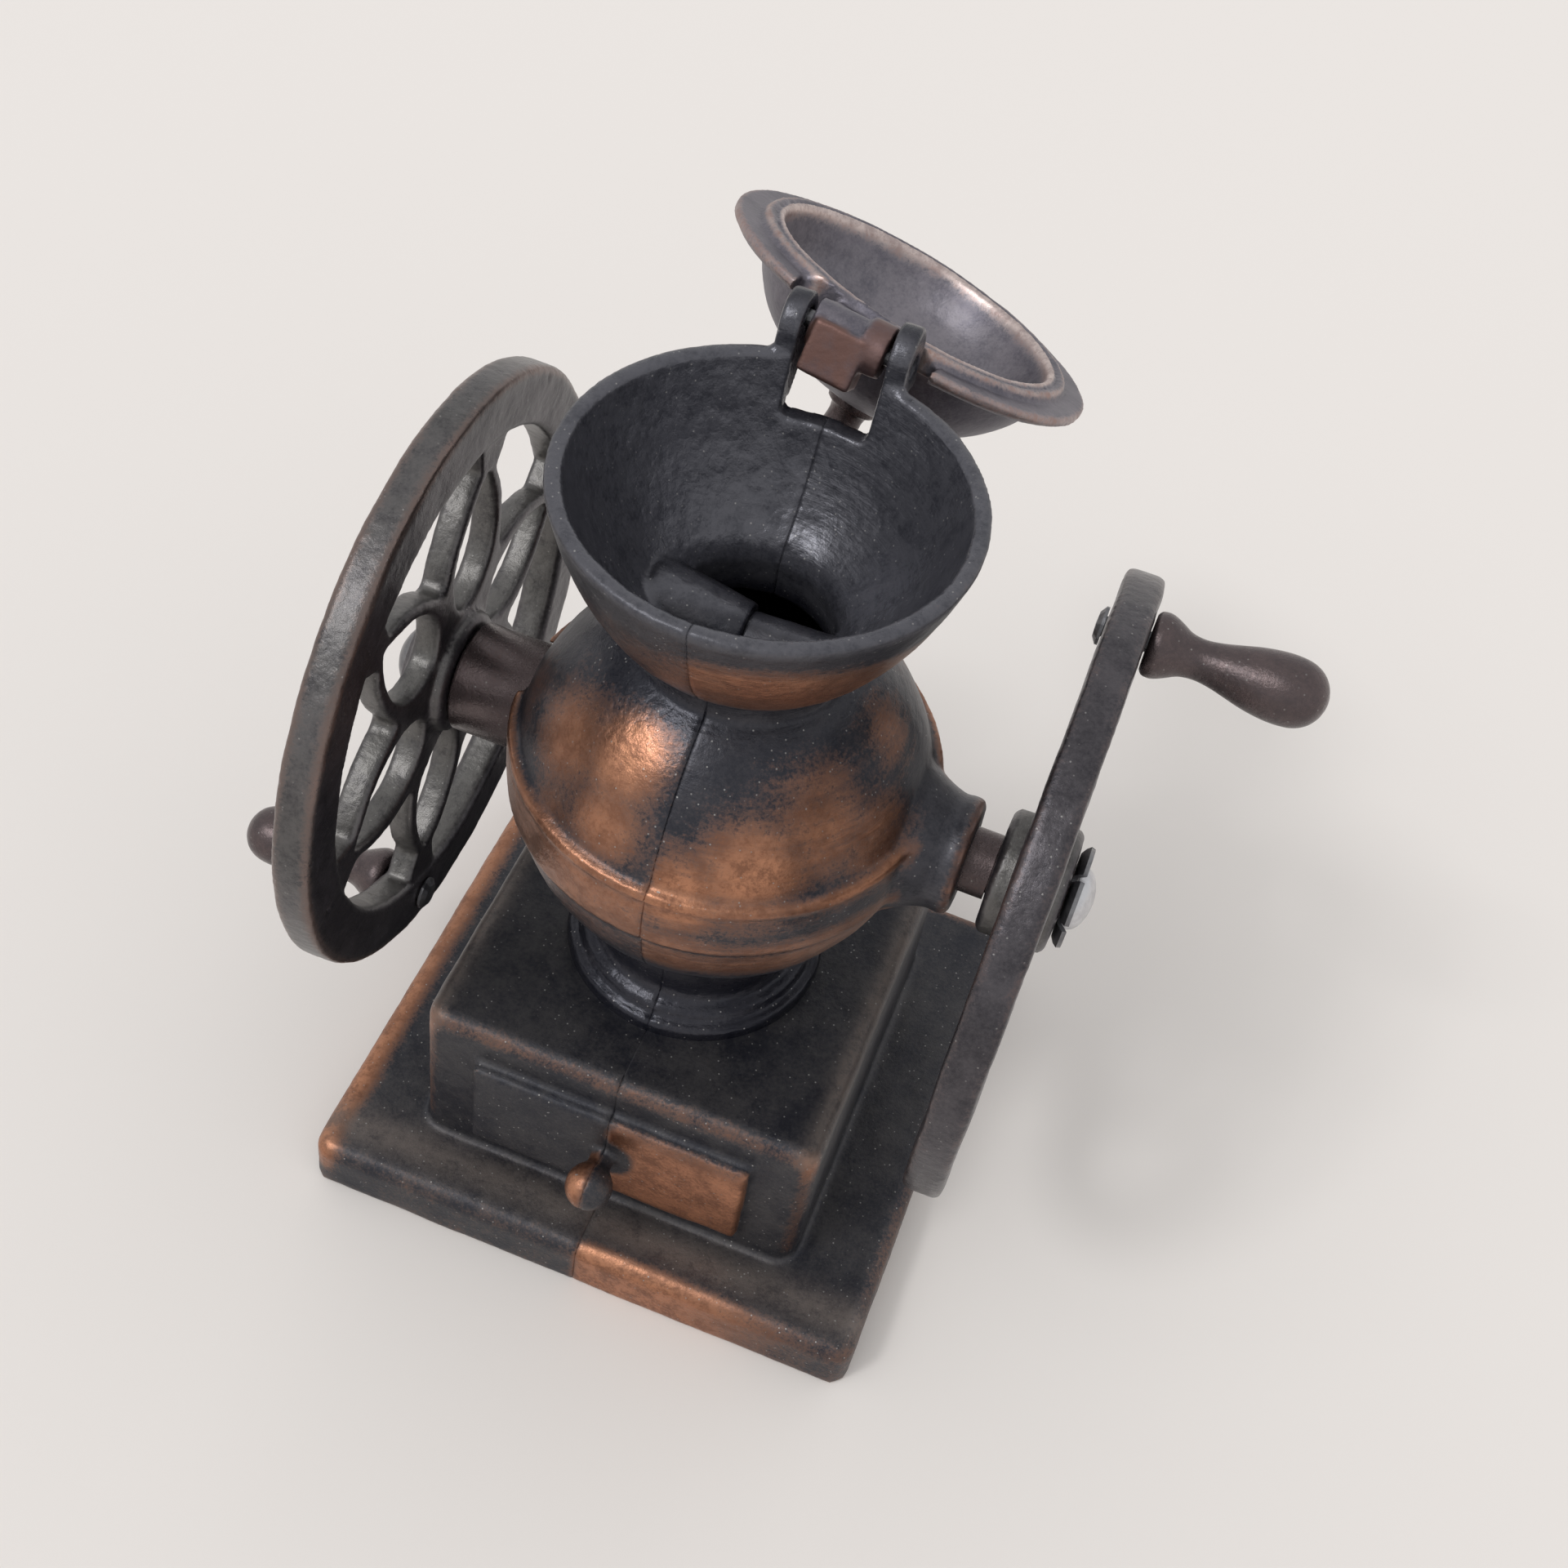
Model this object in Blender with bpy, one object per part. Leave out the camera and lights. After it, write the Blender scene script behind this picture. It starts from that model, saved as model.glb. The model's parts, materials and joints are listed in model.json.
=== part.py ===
"""Miniature double flywheel coffee mill, die cast in two halves, with a pencil sharpener in its hollow base.

Axes: +X from the left wheel to the right wheel, the drawer front faces -Y, +Z is up.
The two body halves meet on the plane through the hopper axis.
Driving sizes are in millimetres and are turned into metres where a mesh is made.
"""
import math

import bmesh
import bpy
from mathutils import Matrix, Vector

for old in list(bpy.data.objects):
    bpy.data.objects.remove(old, do_unlink=True)

MM = 0.001

# overall sizes
PLATE_HALF_X = 23.1
PLATE_FRONT_Y = -21.5
PLATE_BACK_Y = 23.7
PLATE_T = 5.0
BOX_HALF_X = 16.0
BOX_FRONT_Y = -15.8
BOX_BACK_Y = 18.2
BOX_H = 15.8
GLOBE_R = 15.0
GLOBE_RISE = 20.4
HOPPER_R = 14.0
HOPPER_H = 12.4
NECK_R = 7.2
NECK_H = 1.6
WALL = 1.5
HOPPER_WALL = 1.2
BASE_WALL = 1.6

# heights that follow from them
BOX_TOP = PLATE_T + BOX_H
AXLE_Z = BOX_TOP + GLOBE_RISE
NECK_Z = AXLE_Z + math.sqrt(GLOBE_R ** 2 - (NECK_R + 0.1) ** 2)
HOPPER_Z = NECK_Z + NECK_H
RIM_Z = HOPPER_Z + HOPPER_H

# fits and clearances
SEAM_GAP = 0.12
RUN_GAP = 0.15
PIN_GAP = 0.12
SEAT_GAP = 0.15

# wheels and axle
WHEEL_R = 22.9
RIM_WIDTH = 4.4
RIM_T = 2.8
SPOKE_T = 2.1
PETALS = 6
PETAL_PHASE = 72.0
PETAL_IN = 5.1
PETAL_W = 3.2
BAR = 1.35
HUB_R = 4.6
WHEEL_LEFT_X = -(GLOBE_R + 5.6)
WHEEL_RIGHT_X = GLOBE_R + 7.1
SLEEVE_R = 4.1
AXLE_R = 2.4
AXLE_END_R = 1.9
BOSS_R = 4.25
BOSS_END_X = GLOBE_R + 3.6
SHOULDER_X = GLOBE_R - 6.0

# handles
HANDLE_L = 12.2
HANDLE_R = 2.35
HANDLE_ORBIT = 20.4
HANDLE_PIN_R = 0.7

# lid and hinge
LID_R = 14.5
LID_DOME_H = 7.2
FINIAL_L = 4.6
FINIAL_R = 1.5
LID_OPEN_DEG = 205.0
HINGE_Y = HOPPER_R + 0.9
HINGE_RISE = 1.0
HINGE_SKEW_DEG = 7.0
HINGE_YAW_DEG = -3.5
HINGE_PIN_R = 0.6
BARREL_R = 1.65
EAR_R = 2.2
EAR_IN = 3.05
EAR_OUT = 4.6
NOTCH_DEPTH = 4.0

# sharpener set in the base
SHARP_L = 23.0
SHARP_W = 13.0
SHARP_H = 10.6
SHARP_Z = 4.6
PENCIL_R = 4.0

SEG = 40
COL = {}


def material(name, rgb, rough, metal):
    mat = bpy.data.materials.new(name)
    mat.use_nodes = True
    node = mat.node_tree.nodes["Principled BSDF"]
    node.inputs["Base Color"].default_value = (rgb[0], rgb[1], rgb[2], 1.0)
    node.inputs["Roughness"].default_value = rough
    node.inputs["Metallic"].default_value = metal
    mat.diffuse_color = (rgb[0], rgb[1], rgb[2], 1.0)
    return mat


def make(name, verts, faces):
    """A mesh object from millimetre vertices."""
    mesh = bpy.data.meshes.new(name)
    mesh.from_pydata([tuple(c * MM for c in v) for v in verts], [], faces)
    mesh.update()
    obj = bpy.data.objects.new(name, mesh)
    bpy.context.scene.collection.objects.link(obj)
    fix(obj)
    return obj


def fix(obj, dist=2e-6):
    """Weld doubles and turn the faces outward."""
    bm = bmesh.new()
    bm.from_mesh(obj.data)
    bmesh.ops.remove_doubles(bm, verts=bm.verts, dist=dist)
    bmesh.ops.dissolve_degenerate(bm, edges=bm.edges, dist=dist)
    bmesh.ops.recalc_face_normals(bm, faces=bm.faces)
    bm.to_mesh(obj.data)
    bm.free()
    obj.data.update()


def transform(obj, matrix):
    obj.data.transform(matrix)
    obj.data.update()
    return obj


def to_x(obj):
    """Turn a part built along Z so that it lies along X."""
    turn = Matrix(((0, 0, 1, 0), (1, 0, 0, 0), (0, 1, 0, 0), (0, 0, 0, 1)))
    return transform(obj, turn)


def to_y(obj):
    """Turn a part built along Z so that it lies along Y."""
    turn = Matrix(((0, 1, 0, 0), (0, 0, 1, 0), (1, 0, 0, 0), (0, 0, 0, 1)))
    return transform(obj, turn)


def move(obj, x, y, z):
    return transform(obj, Matrix.Translation((x * MM, y * MM, z * MM)))


def revolve(name, profile, seg=SEG, phase=0.0):
    """Turn a closed (radius, height) outline about Z."""
    verts = []
    rings = []
    for r, z in profile:
        if r < 1e-6:
            rings.append([len(verts)])
            verts.append((0.0, 0.0, z))
        else:
            rings.append(list(range(len(verts), len(verts) + seg)))
            for k in range(seg):
                a = phase + 2 * math.pi * k / seg
                verts.append((r * math.cos(a), r * math.sin(a), z))
    faces = []
    n = len(profile)
    for i in range(n):
        a = rings[i]
        b = rings[(i + 1) % n]
        if len(a) == 1 and len(b) == 1:
            continue
        for k in range(seg):
            j = (k + 1) % seg
            if len(a) == 1:
                faces.append((a[0], b[j], b[k]))
            elif len(b) == 1:
                faces.append((a[k], a[j], b[0]))
            else:
                faces.append((a[k], a[j], b[j], b[k]))
    return make(name, verts, faces)


def cylinder(name, r, z0, z1, seg=24, edge=0.0, phase=0.0):
    if edge > 0:
        outline = [(0, z0), (r - edge, z0), (r, z0 + edge), (r, z1 - edge), (r - edge, z1), (0, z1)]
    else:
        outline = [(0, z0), (r, z0), (r, z1), (0, z1)]
    return revolve(name, outline, seg, phase)


def block(name, x0, x1, y0, y1, z0, z1):
    verts = [(x, y, z) for z in (z0, z1) for y in (y0, y1) for x in (x0, x1)]
    faces = [(0, 2, 3, 1), (4, 5, 7, 6), (0, 1, 5, 4), (2, 6, 7, 3), (0, 4, 6, 2), (1, 3, 7, 5)]
    return make(name, verts, faces)


def bevel_edges(obj, test, width, segments=2):
    """Round the edges whose two ends pass the test."""
    bm = bmesh.new()
    bm.from_mesh(obj.data)
    picked = [e for e in bm.edges if test(e.verts[0].co / MM, e.verts[1].co / MM)]
    bmesh.ops.bevel(bm, geom=picked, offset=width * MM, segments=segments, profile=0.5, affect="EDGES")
    bm.to_mesh(obj.data)
    bm.free()
    fix(obj)
    return obj


def rounded_block(name, x0, x1, y0, y1, z0, z1, side, top, segments=3):
    """A block with rounded upright edges and a rounded top edge."""
    obj = block(name, x0, x1, y0, y1, z0, z1)
    bevel_edges(obj, lambda a, b: abs(a.z - b.z) > 0.01, side, segments)
    bevel_edges(obj, lambda a, b: a.z > z1 - 0.01 and b.z > z1 - 0.01, top, segments)
    return obj


def boolean(target, cutter, kind):
    """Join or cut with the exact solver, then remove the tool body."""
    mod = target.modifiers.new("bool", "BOOLEAN")
    mod.operation = kind
    mod.solver = "EXACT"
    mod.object = cutter
    graph = bpy.context.evaluated_depsgraph_get()
    mesh = bpy.data.meshes.new_from_object(target.evaluated_get(graph))
    target.modifiers.clear()
    old_mesh = target.data
    target.data = mesh
    bpy.data.meshes.remove(old_mesh)
    bpy.data.objects.remove(cutter, do_unlink=True)
    fix(target, 1e-6)
    return target


def join(target, *others):
    for other in others:
        boolean(target, other, "UNION")
    return target


def cut(target, *others):
    for other in others:
        boolean(target, other, "DIFFERENCE")
    return target


def prism_x(name, outline, x0, x1):
    """A solid with a (y, z) outline between two X planes."""
    n = len(outline)
    verts = [(x0, y, z) for y, z in outline] + [(x1, y, z) for y, z in outline]
    faces = [tuple(reversed(range(n))), tuple(range(n, 2 * n))]
    for i in range(n):
        j = (i + 1) % n
        faces.append((i, j, n + j, n + i))
    return make(name, verts, faces)


def duplicate(obj, name):
    twin = bpy.data.objects.new(name, obj.data.copy())
    bpy.context.scene.collection.objects.link(twin)
    return twin


def finish(obj, name, mat, angle=40.0):
    obj.name = name
    obj.data.name = name
    obj.data.materials.clear()
    obj.data.materials.append(mat)
    fix(obj, 4e-6)
    obj.data.shade_smooth()
    obj.data.set_sharp_from_angle(angle=math.radians(angle))
    return obj


# ---------------------------------------------------------------- body halves
def bowl_outline():
    """Outer radius and height of the hopper, from the neck up to the rim."""
    share = [(0.0, 0.0), (0.14, 0.07), (0.36, 0.20), (0.56, 0.36), (0.73, 0.54), (0.87, 0.74), (0.96, 0.90)]
    pts = [(NECK_R + f * (HOPPER_R - NECK_R), HOPPER_Z + g * HOPPER_H) for f, g in share]
    pts.append((HOPPER_R, RIM_Z - 0.35))
    pts.append((HOPPER_R - 0.25, RIM_Z))
    return pts


def bowl_inside():
    share = [(0.0, 0.02), (0.10, 0.12), (0.31, 0.24), (0.53, 0.40), (0.71, 0.57), (0.86, 0.76), (0.96, 0.91)]
    low = NECK_R - HOPPER_WALL
    high = HOPPER_R - HOPPER_WALL
    pts = [(low + f * (high - low), HOPPER_Z + g * HOPPER_H) for f, g in share]
    pts.append((high, RIM_Z - 0.1))
    return pts


def sphere_points(radius, z0, z1, count):
    a0 = math.asin(max(-1.0, min(1.0, (z0 - AXLE_Z) / radius)))
    a1 = math.asin(max(-1.0, min(1.0, (z1 - AXLE_Z) / radius)))
    steps = [a0 + (a1 - a0) * k / count for k in range(count + 1)]
    return [(radius * math.cos(a), AXLE_Z + radius * math.sin(a)) for a in steps]


FLANGE_R = 10.1
STEM_R = 7.9
STEM_TOP = AXLE_Z - math.sqrt(GLOBE_R ** 2 - (STEM_R + 0.2) ** 2)
BAND_LOW = AXLE_Z - 1.8
BAND_HIGH = AXLE_Z + 3.5

outer = [(0, BOX_TOP - 1.0), (FLANGE_R, BOX_TOP - 1.0), (FLANGE_R, BOX_TOP + 0.7)]
outer += [(FLANGE_R - 0.35, BOX_TOP + 1.1), (FLANGE_R - 0.9, BOX_TOP + 1.2)]
outer += [(FLANGE_R - 1.05, BOX_TOP + 1.7), (FLANGE_R - 1.4, BOX_TOP + 2.0), (STEM_R + 0.35, BOX_TOP + 2.3)]
outer += [(STEM_R, BOX_TOP + 3.1), (STEM_R - 0.05, STEM_TOP - 0.9)]
outer += sphere_points(GLOBE_R, STEM_TOP, BAND_LOW, 6)
outer += [(GLOBE_R + 0.30, BAND_LOW + 0.15), (GLOBE_R + 0.42, AXLE_Z), (GLOBE_R + 0.40, AXLE_Z + 1.8)]
outer += [(GLOBE_R + 0.30, BAND_HIGH - 0.7), (GLOBE_R + 0.42, BAND_HIGH - 0.35), (GLOBE_R + 0.05, BAND_HIGH)]
outer += sphere_points(GLOBE_R, BAND_HIGH + 0.15, NECK_Z, 7)
outer += [(NECK_R, NECK_Z + 0.6)]
outer += bowl_outline()
outer += [(0, RIM_Z)]
body = revolve("body", outer)

PLATE_SIDE = 1.6
plate = rounded_block(
    "plate", -PLATE_HALF_X, PLATE_HALF_X, PLATE_FRONT_Y, PLATE_BACK_Y, 0.0, PLATE_T, PLATE_SIDE, 1.3, 3
)
box = rounded_block(
    "box", -BOX_HALF_X, BOX_HALF_X, BOX_FRONT_Y, BOX_BACK_Y, PLATE_T - 1.0, BOX_TOP, 1.7, 1.3, 3
)
DRAWER_HALF = 0.705 * BOX_HALF_X
DRAWER_Y = BOX_FRONT_Y - 1.2
DRAWER_Z0 = PLATE_T + 0.17 * BOX_H
DRAWER_Z1 = PLATE_T + 0.79 * BOX_H
drawer = block("drawer", -DRAWER_HALF, DRAWER_HALF, DRAWER_Y, BOX_FRONT_Y + 0.8, DRAWER_Z0, DRAWER_Z1)
bevel_edges(drawer, lambda a, b: a.y < DRAWER_Y + 0.01 and b.y < DRAWER_Y + 0.01, 0.5, 2)
KNOB_Z = 0.5 * (DRAWER_Z0 + DRAWER_Z1) + 0.3
KNOB_R = 1.85
knob_line = [(0, 0.6), (1.0, 0.6), (0.95, -1.3)]
for step in range(1, 8):
    angle = math.radians(-40 + step * 18.0)
    knob_line.append((KNOB_R * math.cos(angle - math.pi / 9), -2.9 - KNOB_R * math.sin(angle - math.pi / 9)))
knob_line.append((0, -2.9 - KNOB_R))
knob = revolve("knob", knob_line, 20)
to_y(knob)
move(knob, 0, DRAWER_Y, KNOB_Z)

boss = revolve(
    "boss",
    [(0, GLOBE_R - 4.0), (BOSS_R + 2.35, GLOBE_R - 2.8), (BOSS_R + 1.25, GLOBE_R - 0.8)]
    + [(BOSS_R + 0.55, GLOBE_R + 0.4), (BOSS_R + 0.15, GLOBE_R + 1.4), (BOSS_R, GLOBE_R + 2.4)]
    + [(BOSS_R - 0.05, BOSS_END_X - 0.35), (BOSS_R - 0.4, BOSS_END_X), (0, BOSS_END_X)],
    32,
)
to_x(boss)
move(boss, 0, 0, AXLE_Z)

HINGE_Z = RIM_Z + HINGE_RISE


def polar(radius, degrees):
    a = math.radians(degrees)
    return (HINGE_Y + radius * math.cos(a), HINGE_Z + radius * math.sin(a))



def ear_plate(sign, heel):
    """A hinge ear with a heel behind it that the open lid rests on."""
    line = [(HOPPER_R - 1.6, RIM_Z - 0.6), polar(EAR_R, 180)]
    line += [polar(EAR_R, a) for a in (155, 130, 105, 80, 55, 30, 5, -20)]
    line += [polar(2.4, heel + 4), polar(3.25, heel), polar(3.2, heel - 16), polar(2.6, heel - 36)]
    line += [(HOPPER_R - 0.9, RIM_Z - 3.9), (HOPPER_R - 1.9, RIM_Z - 3.0)]
    line.reverse()
    return prism_x("ear", line, EAR_IN * sign, EAR_OUT * sign)


ears = [ear_plate(-1, -40.0), ear_plate(1, -58.0)]

join(body, plate, box, drawer, knob, boss, *ears)

# hollow inside: bowl, globe, stem and base
low_bore = STEM_R - WALL
inside = [(0, BOX_TOP - BASE_WALL - 0.5), (low_bore, BOX_TOP - BASE_WALL - 0.5)]
inside += [(low_bore, AXLE_Z - math.sqrt((GLOBE_R - WALL) ** 2 - low_bore ** 2))]
top_bore = NECK_R - HOPPER_WALL
z_low = AXLE_Z - math.sqrt((GLOBE_R - WALL) ** 2 - low_bore ** 2)
z_high = AXLE_Z + math.sqrt((GLOBE_R - WALL) ** 2 - top_bore ** 2)
inside += sphere_points(GLOBE_R - WALL, z_low, z_high, 9)[1:]
inside += bowl_inside()
inside += [(HOPPER_R - HOPPER_WALL + 0.12, RIM_Z + 1.0), (0, RIM_Z + 1.0)]
hollow = revolve("hollow", inside)
room = block(
    "room",
    -BOX_HALF_X + BASE_WALL,
    BOX_HALF_X - BASE_WALL,
    BOX_FRONT_Y + BASE_WALL,
    BOX_BACK_Y - BASE_WALL,
    -1.0,
    BOX_TOP - BASE_WALL,
)
tray = block(
    "tray",
    -PLATE_HALF_X + BASE_WALL,
    PLATE_HALF_X - BASE_WALL,
    PLATE_FRONT_Y + BASE_WALL,
    PLATE_BACK_Y - BASE_WALL,
    -1.0,
    PLATE_T - BASE_WALL,
)
notch = block("notch", -EAR_IN, EAR_IN, HOPPER_R - 5.5, HINGE_Y + 3.0, RIM_Z - NOTCH_DEPTH, RIM_Z + 4.0)
cut(body, hollow, room, tray, notch)

# bearing holes for the axle
left_hole = to_x(cylinder("left_hole", SLEEVE_R + RUN_GAP, -GLOBE_R - 5.0, 5.0 - GLOBE_R, 32))
move(left_hole, 0, 0, AXLE_Z)
right_hole = to_x(cylinder("right_hole", AXLE_R + RUN_GAP, GLOBE_R - 7.0, BOSS_END_X + 1.0, 32))
move(right_hole, 0, 0, AXLE_Z)
pencil_hole = to_y(cylinder("pencil_hole", PENCIL_R + 0.4, BOX_BACK_Y - 4.0, BOX_BACK_Y + 2.0, 30, 0.0, 0.07))
PENCIL_Z = SHARP_Z + SHARP_H * 0.53
move(pencil_hole, 0, 0, PENCIL_Z)
cut(body, left_hole, right_hole, pencil_hole)

# cross peg in the neck, lugs for the joining rivets and ribs that hold the sharpener
PEG_Z = HOPPER_Z - 1.2
PEG_SOCKET_R = 2.5
PEG_R = 2.0
peg_reach = NECK_R - 0.5
LUG_Z = BOX_TOP - BASE_WALL - 1.7
LUG_FRONT_Y = BOX_FRONT_Y + BASE_WALL + 3.2
LUG_BACK_Y = BOX_BACK_Y - BASE_WALL - 4.2
LUG_X = 3.2
LUG_HALF = 1.9
SHARP_Y1 = BOX_BACK_Y - BASE_WALL - SEAT_GAP
SHARP_Y0 = SHARP_Y1 - SHARP_L
halves = {}
for side, sign in (("left", -1), ("right", 1)):
    half = duplicate(body, "body_" + side)
    far = PLATE_HALF_X + 10.0
    slab = block(
        "slab",
        *((-SEAM_GAP / 2, far) if sign < 0 else (-far, SEAM_GAP / 2)),
        PLATE_FRONT_Y - 10.0,
        PLATE_BACK_Y + 10.0,
        -5.0,
        RIM_Z + 20.0,
    )
    cut(half, slab)
    inner_x = SEAM_GAP / 2 * sign
    adds = []
    near_r = PEG_SOCKET_R if sign < 0 else PEG_R
    far_r = near_r + (1.0 if sign < 0 else 0.2)
    stations = sorted([(inner_x, near_r), (peg_reach * sign, far_r)])
    bar_line = [(0, stations[0][0])] + [(r, x) for x, r in stations] + [(0, stations[1][0])]
    bar = to_x(revolve("bar", bar_line, 20))
    adds.append(move(bar, 0, 0, PEG_Z))
    for y in (LUG_FRONT_Y, LUG_BACK_Y):
        x0, x1 = sorted((inner_x, LUG_X * sign))
        adds.append(block("lug", x0, x1, y - LUG_HALF, y + LUG_HALF, LUG_Z - 1.7, BOX_TOP - 0.8))
    for y in (SHARP_Y0 + 3.0, SHARP_Y1 - 4.5):
        x0, x1 = sorted(((SHARP_W / 2 + SEAT_GAP) * sign, (BOX_HALF_X - 0.8) * sign))
        adds.append(block("rib", x0, x1, y - 0.6, y + 0.6, SHARP_Z + 1.0, BOX_TOP - 0.8))
    x0, x1 = sorted((2.2 * sign, (BOX_HALF_X - 0.8) * sign))
    adds.append(block("stop", x0, x1, SHARP_Y0 - SEAT_GAP - 1.2, SHARP_Y0 - SEAT_GAP, SHARP_Z + 2.0, BOX_TOP - 0.8))
    x0, x1 = sorted(((SHARP_W / 2 - 1.2) * sign, (SHARP_W / 2 + 1.0) * sign))
    y_rib = SHARP_Y0 + 3.0
    adds.append(block("seat", x0, x1, y_rib - 0.6, y_rib + 0.6, SHARP_Z + SHARP_H + SEAT_GAP, BOX_TOP - 0.8))
    join(half, *adds)
    cuts = []
    if sign < 0:
        socket = to_x(cylinder("socket", 1.2 + PIN_GAP, -3.4, 1.0, 16))
        cuts.append(move(socket, 0, 0, PEG_Z))
    for y in (LUG_FRONT_Y, LUG_BACK_Y):
        hole = to_x(cylinder("hole", 0.8 + PIN_GAP, -LUG_X - 1.0, LUG_X + 1.0, 16, 0.0, 0.07))
        cuts.append(move(hole, 0, y, LUG_Z))
    cut(half, *cuts)
    if sign > 0:
        tip = to_x(cylinder("tip", 1.2, -3.0, 1.0, 16, 0.3))
        join(half, move(tip, 0, 0, PEG_Z))
    halves[side] = half
bpy.data.objects.remove(body, do_unlink=True)

# hinge axis, tipped a little so that the open lid leans to one side
skew = math.radians(HINGE_SKEW_DEG)
yaw = math.radians(HINGE_YAW_DEG)
HINGE_TURN = Matrix.Rotation(yaw, 4, "Z") @ Matrix.Rotation(skew, 4, "Y")
HINGE_AXIS = (HINGE_TURN @ Vector((1.0, 0.0, 0.0))).normalized()
HINGE_AT = Vector((0.0, HINGE_Y, HINGE_Z))


def on_hinge(obj):
    """Carry a part built along X through the origin onto the hinge axis."""
    transform(obj, HINGE_TURN)
    return move(obj, *HINGE_AT)


pin_room = on_hinge(to_x(cylinder("pin_room", HINGE_PIN_R + PIN_GAP, 0.5 - EAR_OUT, EAR_OUT - 0.5, 16)))
pin_room_copy = duplicate(pin_room, "pin_room_copy")
pin_room_lid = duplicate(pin_room, "pin_room_lid")
cut(halves["left"], pin_room)
cut(halves["right"], pin_room_copy)

left_mat = material("cast_left", (0.10, 0.085, 0.08), 0.5, 0.7)
right_mat = material("cast_right", (0.16, 0.09, 0.06), 0.48, 0.7)
wheel_mat = material("wheel_cast", (0.13, 0.11, 0.11), 0.45, 0.8)
brown_mat = material("brown_cast", (0.16, 0.07, 0.05), 0.4, 0.7)
lid_mat = material("lid_cast", (0.14, 0.12, 0.13), 0.45, 0.8)
steel_mat = material("dark_steel", (0.10, 0.10, 0.11), 0.35, 1.0)
zinc_mat = material("zinc", (0.55, 0.55, 0.57), 0.3, 1.0)
blade_mat = material("blade_steel", (0.6, 0.6, 0.62), 0.2, 1.0)

left_half = finish(halves["left"], "body_left_half", left_mat)
right_half = finish(halves["right"], "body_right_half", right_mat)


# ---------------------------------------------------------------- joining rivets
def rivet(name, shank_r, head_r, head_t, half_l, y, z, mat):
    outline = [(0, -half_l - head_t), (head_r * 0.7, -half_l - head_t), (head_r, -half_l - head_t * 0.4)]
    outline += [(head_r, -half_l), (shank_r, -half_l), (shank_r, half_l), (head_r, half_l)]
    outline += [(head_r, half_l + head_t * 0.4), (head_r * 0.7, half_l + head_t), (0, half_l + head_t)]
    obj = to_x(revolve(name, outline, 16))
    move(obj, 0, y, z)
    return finish(obj, name, mat)


rivet("body_rivet_front", 0.8, 1.5, 0.8, LUG_X + PIN_GAP, LUG_FRONT_Y, LUG_Z, zinc_mat)
rivet("body_rivet_rear", 0.8, 1.5, 0.8, LUG_X + PIN_GAP, LUG_BACK_Y, LUG_Z, zinc_mat)


# ---------------------------------------------------------------- wheels
RIM_IN = WHEEL_R - RIM_WIDTH
PETAL_OUT = RIM_IN - 2.5


def petal_half(r):
    """Half width of a petal opening at a radius."""
    t = (r - PETAL_IN) / (PETAL_OUT - PETAL_IN)
    if t <= 0 or t >= 1:
        return 0.0
    return PETAL_W * (t ** 0.6) * ((1 - t) ** 0.9) / 0.3645


def petal_opening(phase):
    side = []
    for t in (0.0, 0.03, 0.11, 0.24, 0.40, 0.56, 0.72, 0.87, 1.0):
        r = PETAL_IN + t * (PETAL_OUT - PETAL_IN)
        side.append((r, petal_half(r)))
    pts = [(r, h) for r, h in side] + [(r, -h) for r, h in reversed(side[1:-1])]
    c = math.cos(phase)
    s = math.sin(phase)
    return [(r * c - h * s, r * s + h * c) for r, h in pts]


def web_opening(phase):
    """Opening between two petals and the rim, its middle on the phase angle."""
    half = math.pi / PETALS
    side = []
    for t in (0.0, 0.16, 0.32, 0.48, 0.64, 0.80, 1.0):
        r = RIM_IN - t * (RIM_IN - 9.6)
        bar = BAR + 0.9 * max(0.0, 1 - (RIM_IN - r) / 2.2)
        side.append((r, half - math.asin(min(0.95, (petal_half(r) + bar) / r))))
    while len(side) > 3 and side[-1][1] < 0.045:
        side.pop()
    side.append((side[-1][0] - 0.35, 0.0))
    pts = [(r, a) for r, a in side]
    pts += [(r, -a) for r, a in reversed(side[:-1])]
    first = side[0][1]
    for k in range(1, 6):
        pts.append((RIM_IN, -first + 2 * first * k / 6))
    return [(r * math.cos(phase + a), r * math.sin(phase + a)) for r, a in pts]


def spoke_plate(name, z0, z1, phase):
    """The flat pattern of petals as one plate with softened edges."""
    curve = bpy.data.curves.new(name, "CURVE")
    curve.dimensions = "2D"
    curve.fill_mode = "BOTH"
    soft = 0.22
    curve.extrude = ((z1 - z0) / 2 - soft) * MM
    curve.bevel_depth = soft * MM
    curve.bevel_resolution = 0
    curve.offset = -soft * MM
    loops = []
    edge_r = RIM_IN + RIM_WIDTH * 0.5
    ring = [(edge_r * math.cos(2 * math.pi * k / SEG), edge_r * math.sin(2 * math.pi * k / SEG)) for k in range(SEG)]
    loops.append(ring)
    for k in range(PETALS):
        angle = phase + 2 * math.pi * k / PETALS
        loops.append(list(reversed(petal_opening(angle))))
        loops.append(list(reversed(web_opening(angle + math.pi / PETALS))))
    for loop in loops:
        spline = curve.splines.new("POLY")
        spline.points.add(len(loop) - 1)
        for point, (u, v) in zip(spline.points, loop):
            point.co = (u * MM, v * MM, 0.0, 1.0)
        spline.use_cyclic_u = True
    holder = bpy.data.objects.new(name + "_curve", curve)
    bpy.context.scene.collection.objects.link(holder)
    graph = bpy.context.evaluated_depsgraph_get()
    mesh = bpy.data.meshes.new_from_object(holder.evaluated_get(graph))
    bpy.data.objects.remove(holder, do_unlink=True)
    obj = bpy.data.objects.new(name, mesh)
    bpy.context.scene.collection.objects.link(obj)
    fix(obj, 1e-5)
    return move(obj, 0, 0, (z0 + z1) / 2)


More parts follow.
